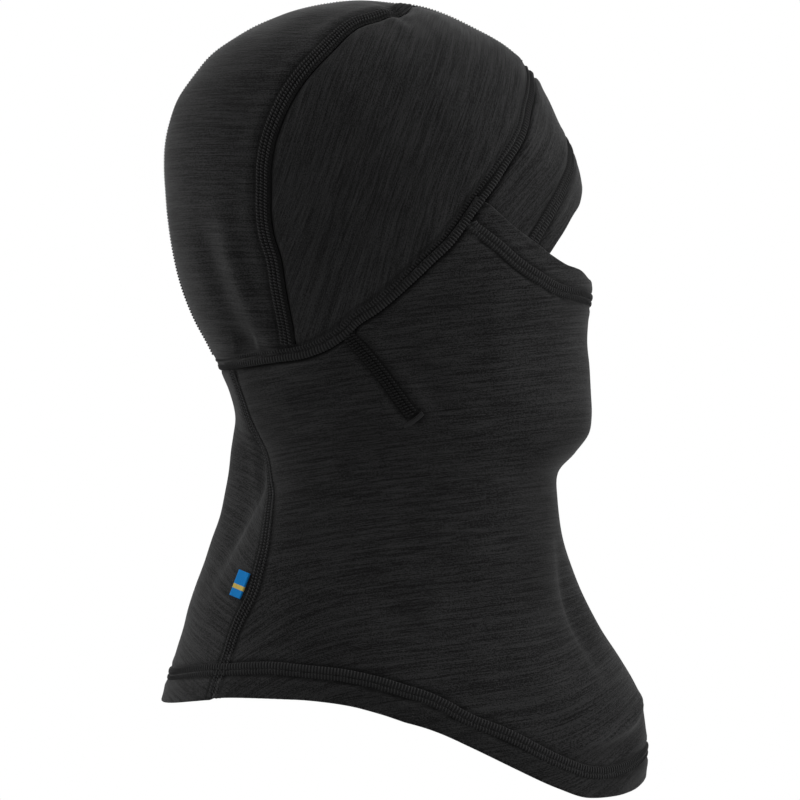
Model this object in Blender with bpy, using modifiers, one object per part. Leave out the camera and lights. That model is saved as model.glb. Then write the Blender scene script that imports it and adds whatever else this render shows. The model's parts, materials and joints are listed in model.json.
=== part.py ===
"""Full-head balaclava: seven knitted panels, flat seam bands, stitched hems and a side tab.

World frame, metres: +Z up, the face looks along -Y, left and right mirror across x = 0.
The origin is the centre of the wearer's head at brow height.
"""
import math

import bmesh
import bpy
import numpy as np
from mathutils import Matrix, Vector

MM = 0.001
NAME = "balaclava"

# Cloth and seam sizes, mm
FABRIC = 1.4          # thickness of the knitted cloth
GAP = 0.3             # clearance left between neighbouring pieces
AROUND = 40           # facets round each section
BAND = 7.6            # width of a flat seam band
HEM_BAND = 7.2        # width of a hem's stitch band
THREAD = 0.5          # height of the stitching over the cloth
THREAD_LIFT = 0.8     # stitching's underside above the smooth surface
OVERLAP_LIFT = 1.9    # how far the mask stands off the forehead panel under it
SEAM_STEP = 11.0      # length of one facet along a seam
NECK_TOP_GAP = 1.6    # extra clearance of the neck seam below the crown's base seam
NECK_END = 26.5       # the neck seam's band stops this far above the edge, at the hem's stitching
DART_GAP = 0.6        # extra clearance of the dart below the base seam
TACK_WIDE = 2.2       # width of the bar tack closing the dart
REACH = 180.0         # half length of a cutter across the head

# Side tab, mm: folded woven loop caught in the right-hand neck seam
TAB_WIDE = 7.4
TAB_LONG = 14.0
TAB_THICK = 0.9
TAB_LIFT = 0.75       # height of the tab's underside over the smooth surface
TAB_LEAN = 0.07       # how much the tab tips up away from the cloth, as a slope
TAB_START = 0.35      # from the hinge line to the tab's sewn edge
TAB_ROUND = 0.13      # how far the folded edge's corners stand back from its tip
TAB_CORNER = 0.7      # height of those corners, as a share of half the thickness
TAB_TOP = (61.3, -200.2)      # y, z of the upper end of its sewn edge
TAB_BOTTOM = (66.3, -213.2)   # y, z of the lower end

# Horizontal sections from the crown to the bottom hem, mm:
# z at the back, drop of the front, y back, y front, half width, y of the widest point, exponent
SECTIONS = [
    (99.2, 0, 6, 6, 0, 6, 2.0),
    (97.0, 0, 29, -20, 22, 6, 2.0),
    (92.0, 0, 46.5, -38, 37.5, 6, 2.05),
    (84.0, 0, 64.5, -54.6, 50, 5, 2.1),
    (74.0, 0, 80.4, -71.8, 60.5, 4, 2.15),
    (62.0, 0, 92, -84, 68.8, 3, 2.2),
    (49.0, 0, 101, -92.3, 74, 2, 2.2),
    (36.0, 0, 106.2, -98.2, 76.9, 1, 2.2),
    (23.0, 0, 108.8, -104, 78, 0, 2.2),
    (10.0, 0, 109.4, -108.9, 78.2, -1, 2.15),
    (-3.0, 0, 108.2, -111.2, 77.6, -2, 2.1),
    (-16.0, 0, 106.8, -112.2, 76.8, -3, 2.1),
    (-29.0, 0, 105.2, -113.4, 75.8, -4, 2.1),
    (-42.0, 0, 102.6, -115, 74.2, -6, 2.1),
    (-55.0, 0, 98.8, -115.7, 72.2, -8, 2.1),
    (-68.0, 0, 93.4, -114.4, 70, -10, 2.1),
    (-81.0, 0, 86.4, -113.2, 67.8, -12, 2.1),
    (-94.0, 0, 80.4, -114.4, 65.8, -14, 2.1),
    (-107.0, 0, 75.2, -115.4, 64.2, -16, 2.1),
    (-119.0, 0, 72.2, -115.9, 63, -17, 2.1),
    (-129.0, 0, 72.8, -114.2, 62.2, -17, 2.1),
    (-138.0, 0.5, 74, -106.8, 61.5, -15, 2.1),
    (-147.0, 1.5, 75.2, -98.2, 61.2, -13, 2.15),
    (-158.0, 4, 77.2, -97.6, 61.4, -12, 2.2),
    (-170.0, 8, 79.8, -99.4, 62.2, -11, 2.2),
    (-182.0, 13, 83.6, -104.2, 63.6, -10, 2.2),
    (-194.0, 18, 87.2, -110, 65.6, -9, 2.2),
    (-206.5, 23, 91.6, -117, 68.2, -9, 2.15),
    (-219.0, 28, 96.2, -125.4, 71, -9, 2.1),
    (-231.5, 33, 99.6, -133.6, 73.6, -9, 2.1),
    (-244.0, 38, 103.6, -140.6, 76, -9, 2.1),
    (-256.5, 42, 107.6, -143.8, 77.8, -9, 2.1),
    (-267.5, 46, 110.2, -143.6, 79, -9, 2.1),
]

# Seam lines seen from the side, (y, z) in mm
REAR_SEAM = [(-18, 99), (-14, 94), (-5, 88), (11, 81), (27, 65), (41, 46.5), (49, 31), (54, 16),
             (55.5, 3), (55.6, -9), (54.5, -28), (49, -42), (46.5, -59), (44, -72), (41.6, -87)]
BASE_SEAM = [(-82.3, 63.6), (-83.4, 60.5), (-84.3, 56), (-83.5, 49), (-79, 33), (-71, 17),
             (-55.3, -6.7), (-47.8, -17), (-35, -34.5), (-15, -55), (-1, -67), (13, -77.5),
             (26, -84.5), (36, -87.7), (53, -90.5), (70.7, -92), (83.5, -87.2)]
NECK_SEAM = [(71, -92), (71.8, -97), (66, -112), (59, -129), (54, -138.6), (52, -152), (51, -168),
             (52, -179), (54.5, -192.5), (58, -206), (63.5, -220), (68, -234.5), (72, -245),
             (76.5, -258), (81, -272)]
BROW_EDGE = [(-111.6, 2.4), (-110.5, -3), (-106, -12), (-100, -19), (-91, -34.5), (-88, -41),
             (-80, -46)]
UNDERLAP_EDGE = [(-80, -46), (-66, -46), (-48, -42), (-31, -38.5)]
MASK_EDGE = [(-53.2, -9), (-57, -10.4), (-65.6, -16.4), (-76, -25), (-91, -34.5), (-97, -39.6),
             (-105.5, -42.6), (-111, -44.6), (-114.2, -48), (-115.6, -52.5)]
BROW_STITCH = [(-103, 26), (-103.9, 22), (-104.2, 16), (-103.6, 10.5), (-101.2, 3), (-96.4, -7),
               (-90.4, -17), (-85, -25.5)]
MASK_STITCH = [(-50.4, -22.3), (-68, -35.4), (-86.5, -48), (-103, -54.4), (-112, -56.6),
               (-115.4, -58.2)]
DART = [(14, -78.5), (-2, -97.5), (-19.5, -117)]
TACK = [(-17.5, -124.6), (-27, -116.6)]
BOTTOM_STITCH = [(109.4, -257.4), (106, -256.2), (82, -249.6), (69, -247.6), (48, -247.2),
                 (30, -248.7), (11, -251.7), (-7, -256.2), (-25, -261.9), (-37.5, -266),
                 (-61, -277), (-84, -290), (-102, -298.4), (-124, -302.6), (-137, -301.8),
                 (-143.8, -299.6)]
OVERLAP_CORNERS = [(-53, -9), (-91, -34.5), (-80, -46), (-31, -38.5)]

TONES = {
    "knit": (0.030, 0.030, 0.033),
    "knit_mask": (0.034, 0.034, 0.037),
    "thread": (0.018, 0.018, 0.020),
    "tab": (0.03, 0.12, 0.32),
}


def clear_scene():
    for ob in list(bpy.data.objects):
        bpy.data.objects.remove(ob, do_unlink=True)


def collection(name):
    coll = bpy.data.collections.new(name)
    bpy.context.scene.collection.children.link(coll)
    return coll


def front_share(s):
    """Share of a section's front drop reached at fraction s of the way from back to front."""
    a = np.clip((s - 0.28) / 0.60, 0, 1)
    return a * a * (3 - 2 * a) - 0.11 * np.sin(np.pi * np.clip(s / 0.5, 0, 1))


def section_at(v):
    """Section values at a fractional row, by a Catmull-Rom curve through the table."""
    rows = np.array(SECTIONS, float)
    last = len(rows) - 1
    i = int(min(max(math.floor(v), 0), last - 1))
    f = v - i
    p0, p1, p2, p3 = (rows[min(max(i + k, 0), last)] for k in (-1, 0, 1, 2))
    ease = 2 * p0 - 5 * p1 + 4 * p2 - p3 + f * (3 * p1 - p0 - 3 * p2 + p3)
    return p1 + 0.5 * f * (p2 - p0 + f * ease)


def on_section(row, angle):
    """Point of a section at an angle from the back (0) past the side to the front (pi)."""
    z_back, drop, back, front, wide, mid, power = row
    c, s = math.cos(angle), math.sin(angle)
    e = 2 / power
    reach = back - mid if c >= 0 else mid - front
    y = mid + math.copysign(abs(c) ** e, c) * reach
    x = math.copysign(max(wide, 0) * abs(s) ** e, s)
    share = (back - y) / max(back - front, 1e-6)
    return np.array([x, y, z_back - drop * float(front_share(share))])


def surface(v, angle):
    return on_section(section_at(v), angle)


def surface_normal(v, angle):
    dv = surface(v + 0.02, angle) - surface(v - 0.02, angle)
    da = surface(v, angle + 0.01) - surface(v, angle - 0.01)
    n = np.cross(dv, da)
    length = np.linalg.norm(n)
    return n / length if length > 1e-9 else np.array([0, 0, 1.0])


def find_on_surface(y, z):
    """Row and angle of the surface point on the wearer's left that has this y and z."""
    v, angle = 8.0, 1.6
    best = (1e9, v, angle)
    for v0 in np.arange(1.0, len(SECTIONS) - 1.0, 1.0):
        for a0 in np.arange(0.05, 3.14, 0.15):
            p = surface(v0, a0)
            gap = (p[1] - y) ** 2 + (p[2] - z) ** 2
            if gap < best[0]:
                best = (gap, v0, a0)
    _, v, angle = best
    step_v, step_a = 0.5, 0.08
    for _ in range(40):
        moved = False
        for dv, da in ((step_v, 0), (-step_v, 0), (0, step_a), (0, -step_a)):
            nv = min(max(v + dv, 0.3), len(SECTIONS) - 1)
            na = min(max(angle + da, 0.0), math.pi)
            p = surface(nv, na)
            gap = (p[1] - y) ** 2 + (p[2] - z) ** 2
            if gap < best[0]:
                best = (gap, nv, na)
                moved = True
        _, v, angle = best
        if not moved:
            step_v, step_a = step_v / 2, step_a / 2
    return v, angle


def smooth_line(points, step):
    """Even points along a Catmull-Rom curve through the given (y, z) points."""
    pts = [np.array(p, float) for p in points]
    dense = []
    for i in range(len(pts) - 1):
        p0, p1 = pts[max(i - 1, 0)], pts[i]
        p2, p3 = pts[i + 1], pts[min(i + 2, len(pts) - 1)]
        for f in np.linspace(0, 1, 12, endpoint=False):
            ease = 2 * p0 - 5 * p1 + 4 * p2 - p3 + f * (3 * p1 - p0 - 3 * p2 + p3)
            dense.append(p1 + 0.5 * f * (p2 - p0 + f * ease))
    dense.append(pts[-1])
    dense = np.array(dense)
    run = np.concatenate([[0], np.cumsum(np.linalg.norm(np.diff(dense, axis=0), axis=1))])
    count = max(2, int(round(run[-1] / step)) + 1)
    at = np.linspace(0, run[-1], count)
    return np.stack([np.interp(at, run, dense[:, k]) for k in range(dense.shape[1])], axis=1)


def overlap_lift(y, z):
    """Outward lift of the mask where it lies over the forehead panel, fading with distance."""
    p = np.array([y, z], float)
    corners = [np.array(c, float) for c in OVERLAP_CORNERS]
    inside, nearest = True, 1e9
    for i, a in enumerate(corners):
        b = corners[(i + 1) % len(corners)]
        edge, rel = b - a, p - a
        along = min(max(rel @ edge / (edge @ edge), 0), 1)
        nearest = min(nearest, np.linalg.norm(rel - along * edge))
        if edge[0] * rel[1] - edge[1] * rel[0] < 0:
            inside = False
    if inside:
        return OVERLAP_LIFT
    f = min(max((nearest - 14) / 30, 0), 1)
    return OVERLAP_LIFT * (1 - f * f * (3 - 2 * f))


def mesh_object(name, verts, faces, coll):
    me = bpy.data.meshes.new(name)
    me.from_pydata([tuple(float(c) * MM for c in v) for v in verts], [], faces)
    ob = bpy.data.objects.new(name, me)
    coll.objects.link(ob)
    bm = bmesh.new()
    bm.from_mesh(me)
    bmesh.ops.recalc_face_normals(bm, faces=bm.faces)
    bm.to_mesh(me)
    bm.free()
    return ob


def head_shell(name, lifted, coll):
    """The whole head-and-neck cloth as one tube closed at the crown, thickened inward."""
    verts, faces = [], []
    for k, row in enumerate(SECTIONS):
        row = np.array(row, float)
        if k == 0:
            verts.append(on_section(row, 0.0))
            continue
        for j in range(AROUND):
            angle = 2 * math.pi * j / AROUND
            p = on_section(row, angle)
            if lifted:
                lift = overlap_lift(p[1], p[2])
                if lift > 0:
                    p = p + lift * outward(k, angle)
            verts.append(p)
    for j in range(AROUND):
        faces.append((0, 1 + j, 1 + (j + 1) % AROUND))
    for k in range(1, len(SECTIONS) - 1):
        a, b = 1 + (k - 1) * AROUND, 1 + k * AROUND
        for j in range(AROUND):
            n = (j + 1) % AROUND
            faces.append((a + j, b + j, b + n, a + n))
    ob = mesh_object(name, verts, faces, coll)
    point_outward(ob)
    solid = ob.modifiers.new("cloth", "SOLIDIFY")
    solid.thickness = FABRIC * MM
    solid.offset = -1
    solid.use_even_offset = True
    return apply_modifiers(ob)


def outward(v, angle):
    n = surface_normal(v, angle)
    p = surface(v, angle)
    axis = np.array([0, -5.0, min(p[2], 20.0)])
    return n if n @ (p - axis) > 0 else -n


def point_outward(ob):
    """Flip an open skin when its faces look at the head's inside."""
    me = ob.data
    centre = Vector((0, -0.005, 0))
    total = 0.0
    for poly in me.polygons:
        away = Vector((poly.center.x, poly.center.y - centre.y, 0))
        total += poly.normal.dot(away) * poly.area
    if total < 0:
        me.flip_normals()


def apply_modifiers(ob):
    graph = bpy.context.evaluated_depsgraph_get()
    graph.update()
    me = bpy.data.meshes.new_from_object(ob.evaluated_get(graph))
    ob.modifiers.clear()
    ob.data = me
    return ob


def shifted(line, by):
    """The (y, z) polyline moved sideways; positive goes to the left of its direction."""
    line = np.array(line, float)
    d = np.gradient(line, axis=0)
    d /= np.linalg.norm(d, axis=1)[:, None]
    return line + by * np.stack([-d[:, 1], d[:, 0]], axis=1)


def prism(name, outline, x0, x1, coll):
    """Cutter: the side outline swept across the head from x0 to x1."""
    count = len(outline)
    verts = [(x, p[0], p[1]) for x in (x0, x1) for p in outline]
    faces = [tuple(range(count)), tuple(range(2 * count - 1, count - 1, -1))]
    for i in range(count):
        n = (i + 1) % count
        faces.append((i, n, count + n, count + i))
    ob = mesh_object(name, verts, faces, coll)
    ob.hide_render = True
    ob.display_type = "WIRE"
    return ob


def cut_panel(name, shell, cutters, coll):
    ob = bpy.data.objects.new(name, shell.data.copy())
    coll.objects.link(ob)
    for cutter in cutters:
        mod = ob.modifiers.new("cut", "BOOLEAN")
        mod.operation = "INTERSECT"
        mod.object = cutter
        mod.solver = "EXACT"
    apply_modifiers(ob)
    bm = bmesh.new()
    bm.from_mesh(ob.data)
    bmesh.ops.remove_doubles(bm, verts=bm.verts, dist=0.00008)
    bmesh.ops.dissolve_degenerate(bm, edges=bm.edges, dist=0.00005)
    bmesh.ops.triangulate(bm, faces=bm.faces)
    bm.to_mesh(ob.data)
    bm.free()
    return ob


def ribbon(name, line3, normals, width, lift, coll, closed=False):
    """Flat band following a line on the cloth, lifted off it and as thick as its thread."""
    line3, normals = np.array(line3), np.array(normals)
    if closed:
        along = np.roll(line3, -1, axis=0) - np.roll(line3, 1, axis=0)
    else:
        along = np.gradient(line3, axis=0)
    side = np.cross(normals, along)
    side /= np.linalg.norm(side, axis=1)[:, None]
    rise = np.array(lift)[:, None] * normals
    verts = list(line3 + rise - side * width / 2) + list(line3 + rise + side * width / 2)
    count = len(line3)
    last = count if closed else count - 1
    faces = [(i, (i + 1) % count, count + (i + 1) % count, count + i) for i in range(last)]
    me = bpy.data.meshes.new(name)
    me.from_pydata([tuple(float(c) * MM for c in v) for v in verts], [], faces)
    ob = bpy.data.objects.new(name, me)
    coll.objects.link(ob)
    toward = sum(f.normal.dot(Vector(normals[min(f.vertices[0], count - 1)])) for f in me.polygons)
    if toward < 0:
        me.flip_normals()
    solid = ob.modifiers.new("thread", "SOLIDIFY")
    solid.thickness = THREAD * MM
    solid.offset = 1
    solid.use_even_offset = True
    return apply_modifiers(ob)


def seam_on_surface(points, trim=(0.0, 0.0), centre=(None, None), step=SEAM_STEP):
    """3-D points and outward normals of a side-view seam, shortened at its two ends.

    centre gives, for each end that lies on x = 0, the angle of that side of the head.
    """
    fine = smooth_line(points, 2.0)
    where = [find_on_surface(y, z) for y, z in fine]
    for end, angle in ((0, centre[0]), (-1, centre[1])):
        if angle is not None:
            where[end] = (row_of_centre(angle, lambda p, low=fine[end][1]: p[2] < low), angle)
    pts = np.array([surface(v, a) for v, a in where])
    run = np.concatenate([[0], np.cumsum(np.linalg.norm(np.diff(pts, axis=0), axis=1))])
    lo, hi = trim[0], run[-1] - trim[1]
    count = max(2, int(round((hi - lo) / step)) + 1)
    at = np.linspace(lo, hi, count)
    vs = np.interp(at, run, [v for v, _ in where])
    angles = np.interp(at, run, [a for _, a in where])
    line = np.array([surface(v, a) for v, a in zip(vs, angles)])
    normals = np.array([outward(v, a) for v, a in zip(vs, angles)])
    return line, normals


def mirrored(arr):
    return np.array(arr) * np.array([-1.0, 1.0, 1.0])


def lifts(line, over_mask):
    base = THREAD_LIFT
    return [base + (overlap_lift(p[1], p[2]) if over_mask else 0.0) for p in line]


def across_centre(points, over_mask, width, name, coll, centre):
    """Band from side to side through x = 0; it closes on itself when both its ends lie there."""
    line, normals = seam_on_surface(points, centre=centre)
    closed = centre[1] is not None
    line[0][0] = normals[0][0] = 0.0
    if closed:
        line[-1][0] = normals[-1][0] = 0.0
        left, left_n = line, normals
        right, right_n = mirrored(line)[1:-1][::-1], mirrored(normals)[1:-1][::-1]
        all_pts = np.vstack([left, right])
        all_n = np.vstack([left_n, right_n])
    else:
        all_pts = np.vstack([mirrored(line)[:0:-1], line])
        all_n = np.vstack([mirrored(normals)[:0:-1], normals])
    all_n /= np.linalg.norm(all_n, axis=1)[:, None]
    return ribbon(name, all_pts, all_n, width, lifts(all_pts, over_mask), coll, closed)


def centre_line(v_from, v_to, angle, step=SEAM_STEP):
    """Points down the centre of the crown at the back (angle 0) or the front (angle pi)."""
    vs = np.linspace(v_from, v_to, 200)
    pts = np.array([surface(v, angle) for v in vs])
    run = np.concatenate([[0], np.cumsum(np.linalg.norm(np.diff(pts, axis=0), axis=1))])
    at = np.linspace(0, run[-1], max(2, int(round(run[-1] / step)) + 1))
    rows = np.interp(at, run, vs)
    line = np.array([surface(v, angle) for v in rows])
    normals = np.array([outward(v, angle) for v in rows])
    line[:, 0] = 0
    normals[:, 0] = 0
    normals /= np.linalg.norm(normals, axis=1)[:, None]
    return line, normals


def row_of_centre(angle, test):
    """First row down the centre line, past the crown, whose point passes the test."""
    for v in np.arange(0.6, len(SECTIONS) - 1, 0.02):
        if test(surface(v, angle)):
            return v
    return len(SECTIONS) - 1.0


def make_tab(coll, empty_coll):
    """Folded tab, rounded along its loop, lying on the cloth behind the neck seam."""
    ends = []
    for y, z in (TAB_TOP, TAB_BOTTOM):
        v, a = find_on_surface(y, z)
        ends.append((surface(v, a), outward(v, a)))
    flip = np.array([-1.0, 1.0, 1.0])
    top, bottom = ends[0][0] * flip, ends[1][0] * flip
    out = (ends[0][1] + ends[1][1]) / 2 * flip
    along = bottom - top
    mid = (top + bottom) / 2
    along /= np.linalg.norm(along)
    out -= (out @ along) * along
    out /= np.linalg.norm(out)
    away = np.cross(along, out)
    if away[1] < 0:
        away = -away
    away = away + TAB_LEAN * out
    away /= np.linalg.norm(away)
    rise = np.cross(along, away)
    if rise @ out < 0:
        rise = -rise
    half = TAB_THICK / 2
    corner = TAB_WIDE - TAB_ROUND
    corner_high = half * TAB_CORNER
    section = [(TAB_START, -half), (TAB_WIDE - half, -half), (corner, -corner_high),
               (TAB_WIDE, 0), (corner, corner_high), (TAB_WIDE - half, half),
               (TAB_START, half)]
    verts = []
    for s in (-TAB_LONG / 2, TAB_LONG / 2):
        for a, h in section:
            verts.append(mid + along * s + away * a + rise * (h + TAB_LIFT + half))
    count = len(section)
    faces = [tuple(range(count)), tuple(range(2 * count - 1, count - 1, -1))]
    for i in range(count):
        n = (i + 1) % count
        faces.append((i, n, count + n, count + i))
    ob = mesh_object("side_tab", verts, faces, coll)
    pivot = mid + rise * (TAB_LIFT + half)
    holder = bpy.data.objects.new("side_tab_hinge", None)
    holder.location = Vector(pivot) * MM
    empty_coll.objects.link(holder)
    ob.data.transform(Matrix.Translation(-holder.location))
    ob.parent = holder
    return ob


def material(name, tone, rough):
    mat = bpy.data.materials.new(name)
    mat.use_nodes = True
    bsdf = mat.node_tree.nodes["Principled BSDF"]
    bsdf.inputs["Base Color"].default_value = (*tone, 1)
    bsdf.inputs["Roughness"].default_value = rough
    return mat


def finish(ob, tone, rough, smooth=True):
    ob.data.materials.clear()
    ob.data.materials.append(material(ob.name + "_material", TONES[tone], rough))
    for poly in ob.data.polygons:
        poly.use_smooth = smooth


def outline(*runs):
    """Closed side outline from several runs of (y, z) points."""
    return [tuple(p) for run in runs for p in run]


def build():
    clear_scene()
    parts = collection(NAME)
    cutters = collection(NAME + "_cutters")
    cutters.hide_render = True

    shell = head_shell("cloth_form", False, cutters)
    mask_shell = head_shell("mask_form", True, cutters)
    for form in (shell, mask_shell):
        form.hide_render = True
        form.display_type = "WIRE"

    half = GAP / 2
    rear = smooth_line([(-18, 120)] + REAR_SEAM, SEAM_STEP * 0.8)
    base = smooth_line([(-96, 66.5)] + BASE_SEAM + [(125, -70)], SEAM_STEP * 0.8)
    meets = int(np.argmin(np.linalg.norm(base - rear[-1], axis=1)))
    neck = smooth_line(NECK_SEAM + [(86, -300)], SEAM_STEP * 0.8)
    neck_at = int(np.argmin(np.linalg.norm(base - np.array(NECK_SEAM[0]), axis=1)))
    brow = smooth_line([(-130, 9)] + BROW_EDGE, SEAM_STEP * 0.8)
    under = smooth_line(UNDERLAP_EDGE, SEAM_STEP)
    mask = smooth_line(MASK_EDGE + [(-132, -58)], SEAM_STEP * 0.8)
    hem_at = int(np.argmin(np.linalg.norm(base - np.array(MASK_EDGE[0]), axis=1)))
    under_at = int(np.argmin(np.linalg.norm(base - np.array(UNDERLAP_EDGE[-1]), axis=1)))

    base[meets] = rear[-1]
    base[neck_at] = neck[0]
    above, below = shifted(base, half), shifted(base, -half)
    before, behind = shifted(rear, -half), shifted(rear, half)
    # behind: the side of the rear seam toward +y
    if behind[len(behind) // 2][0] < before[len(before) // 2][0]:
        before, behind = behind, before
    if above[len(above) // 2][1] < below[len(below) // 2][1]:
        above, below = below, above
    neck_fore, neck_aft = shifted(neck, -half), shifted(neck, half)
    if neck_fore[len(neck) // 2][0] > neck_aft[len(neck) // 2][0]:
        neck_fore, neck_aft = neck_aft, neck_fore

    back_out = outline(behind[:-1], [behind[-1] + [0.05, 0.15]], above[meets + 1:], [(150, 120)])
    side_out = outline(before[:-1], [before[-1] + [-0.05, 0.15]], above[:meets][::-1],
                       [(-150, 67), (-150, 120)])
    brow_out = outline(below[:under_at + 1], under[::-1][1:], brow[::-1], [(-150, 20), (-150, 60)])
    face_out = outline(below[hem_at:neck_at], [below[neck_at] + [-0.2, 0.1]], neck_fore[1:],
                       [(86, -340), (-170, -340), (-170, -60)], mask[::-1][:-1])
    nape_out = outline(neck_aft[1:][::-1], [below[neck_at] + [0.3, 0.0]], below[neck_at + 1:],
                       [(150, -80), (150, -340), (90, -340)])

    pieces = {}
    for side, x0, x1 in (("left", half, REACH), ("right", -REACH, -half)):
        for label, shape in (("crown_back", back_out), ("crown_side", side_out)):
            name = f"{label}_{side}"
            cutter = prism(name + "_cut", shape, x0, x1, cutters)
            pieces[name] = cut_panel(name, shell, [cutter], parts)
    for name, shape, form in (("forehead_panel", brow_out, shell),
                              ("face_neck_panel", face_out, mask_shell),
                              ("back_neck_panel", nape_out, shell)):
        cutter = prism(name + "_cut", shape, -REACH, REACH, cutters)
        pieces[name] = cut_panel(name, form, [cutter], parts)

    # seam bands
    clear = BAND / 2 + GAP
    apex_back = row_of_centre(math.pi, lambda p: p[1] < REAR_SEAM[0][0])
    front_end = row_of_centre(math.pi, lambda p: p[2] < BASE_SEAM[0][1])
    back_end = row_of_centre(0.0, lambda p: p[2] < BASE_SEAM[-1][1])
    crest, crest_n = centre_line(0.35, apex_back, math.pi)
    down, down_n = centre_line(0.35, back_end, 0.0)
    line = np.vstack([crest[::-1], down])
    normals = np.vstack([crest_n[::-1], down_n])
    run = np.concatenate([[0], np.cumsum(np.linalg.norm(np.diff(line, axis=0), axis=1))])
    at = np.linspace(clear + 0.5, run[-1] - clear - 0.3, int(run[-1] / SEAM_STEP))
    line = np.stack([np.interp(at, run, line[:, k]) for k in range(3)], axis=1)
    normals = np.stack([np.interp(at, run, normals[:, k]) for k in range(3)], axis=1)
    normals /= np.linalg.norm(normals, axis=1)[:, None]
    pieces["crown_centre_back_seam"] = ribbon("crown_centre_back_seam", line, normals, BAND,
                                              lifts(line, False), parts)
    line, normals = centre_line(apex_back, front_end, math.pi)
    run = np.concatenate([[0], np.cumsum(np.linalg.norm(np.diff(line, axis=0), axis=1))])
    at = np.linspace(clear + 0.5, run[-1] - clear - 0.6, int(run[-1] / SEAM_STEP) + 1)
    line = np.stack([np.interp(at, run, line[:, k]) for k in range(3)], axis=1)
    normals = np.stack([np.interp(at, run, normals[:, k]) for k in range(3)], axis=1)
    pieces["crown_centre_top_seam"] = ribbon("crown_centre_top_seam", line, normals, BAND,
                                             lifts(line, False), parts)
    pieces["crown_base_seam"] = across_centre(BASE_SEAM, True, BAND, "crown_base_seam", parts,
                                              (math.pi, 0.0))

    paired = (
        ("crown_rear_seam", REAR_SEAM, BAND, (GAP / 2, clear + GAP), False),
        ("neck_seam", NECK_SEAM, BAND, (clear + NECK_TOP_GAP, NECK_END), False),
        ("dart_seam", DART, BAND, (clear + DART_GAP, 0.0), True),
        ("dart_tack", TACK, TACK_WIDE, (0.0, 0.0), True),
    )
    for label, points, width, trim, over in paired:
        line, normals = seam_on_surface(points, trim)
        for side, pts, nrm in (("left", line, normals), ("right", mirrored(line), mirrored(normals))):
            name = f"{label}_{side}"
            pieces[name] = ribbon(name, pts, nrm, width, lifts(pts, over), parts)
    pieces["brow_hem_stitch"] = across_centre(BROW_STITCH, False, HEM_BAND, "brow_hem_stitch", parts,
                                              (math.pi, None))
    pieces["mask_hem_stitch"] = across_centre(MASK_STITCH[::-1], True, HEM_BAND, "mask_hem_stitch",
                                              parts, (math.pi, None))
    pieces["bottom_hem_stitch"] = across_centre(BOTTOM_STITCH, False, HEM_BAND,
                                                "bottom_hem_stitch", parts, (0.0, math.pi))
    pieces["side_tab"] = make_tab(parts, parts)

    for name, ob in pieces.items():
        if name == "side_tab":
            finish(ob, "tab", 0.6, smooth=False)
        elif name in ("face_neck_panel", "back_neck_panel"):
            finish(ob, "knit_mask", 0.9)
        elif name.endswith("panel") or name.startswith(("crown_back", "crown_side")):
            finish(ob, "knit", 0.9)
        else:
            finish(ob, "thread", 0.85)


build()
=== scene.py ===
"""Looks of the balaclava: marled knit panels, flatlock seams, hem stitching and the woven side tab.

Lengths inside the script are millimetres unless they end in _m. A place on the cloth is (v, t):
v counts the head's horizontal sections down from the crown, and t turns from the centre of the
back (0) past the wearer's left (positive) or right (negative) side to the centre of the front (1).
"""

import json
import math

import bmesh
import bpy
import numpy as np
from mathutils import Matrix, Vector


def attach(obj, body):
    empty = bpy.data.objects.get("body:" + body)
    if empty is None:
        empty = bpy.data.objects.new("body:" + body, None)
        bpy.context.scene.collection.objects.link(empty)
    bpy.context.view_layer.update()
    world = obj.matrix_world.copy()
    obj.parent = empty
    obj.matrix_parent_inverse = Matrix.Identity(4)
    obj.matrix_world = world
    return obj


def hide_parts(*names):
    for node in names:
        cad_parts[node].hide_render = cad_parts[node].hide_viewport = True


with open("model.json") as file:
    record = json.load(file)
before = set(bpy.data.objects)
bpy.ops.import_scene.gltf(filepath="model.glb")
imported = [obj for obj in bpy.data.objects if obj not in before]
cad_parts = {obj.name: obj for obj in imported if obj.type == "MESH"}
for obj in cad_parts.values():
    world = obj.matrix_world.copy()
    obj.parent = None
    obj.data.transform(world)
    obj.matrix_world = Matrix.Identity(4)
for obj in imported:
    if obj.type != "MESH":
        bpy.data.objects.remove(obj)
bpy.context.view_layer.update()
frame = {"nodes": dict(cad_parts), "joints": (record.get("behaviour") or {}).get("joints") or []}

MM = 0.001
CLOTH = 1.2            # thickness of the single knit
HEM_CLOTH = 2.3        # thickness of a folded hem
STEP = 1.9             # length of a cell of the panels' grids
PITCH = 1.65           # length of one stitch
THREAD_FLATNESS = 0.8  # height of a thread over its width
HEM_ROWS = 3.3         # distance of a hem's two needle rows from the middle between them
OVERLAP_LIFT = 1.9     # how far the mask stands off the forehead panel beneath it
# FOLD_SHADE paints light on a fold's ridge and shade in its valley into the cloth's colour; DEEPEST_SHADED
# caps the height that sets it
FOLD_SHADE = 0.085     # how much lighter a fold's ridge is, or darker its valley, for 1 mm of height
DEEPEST_SHADED = 3.5   # height beyond which a fold isn't shaded any more
SEAM_STEP = 1.2        # distance between the points that seams are measured from
STRIPE_AT = -1.6       # middle of the tab's yellow stripe across its width
STRIPE_HALF = 1.25     # half the stripe's width

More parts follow.
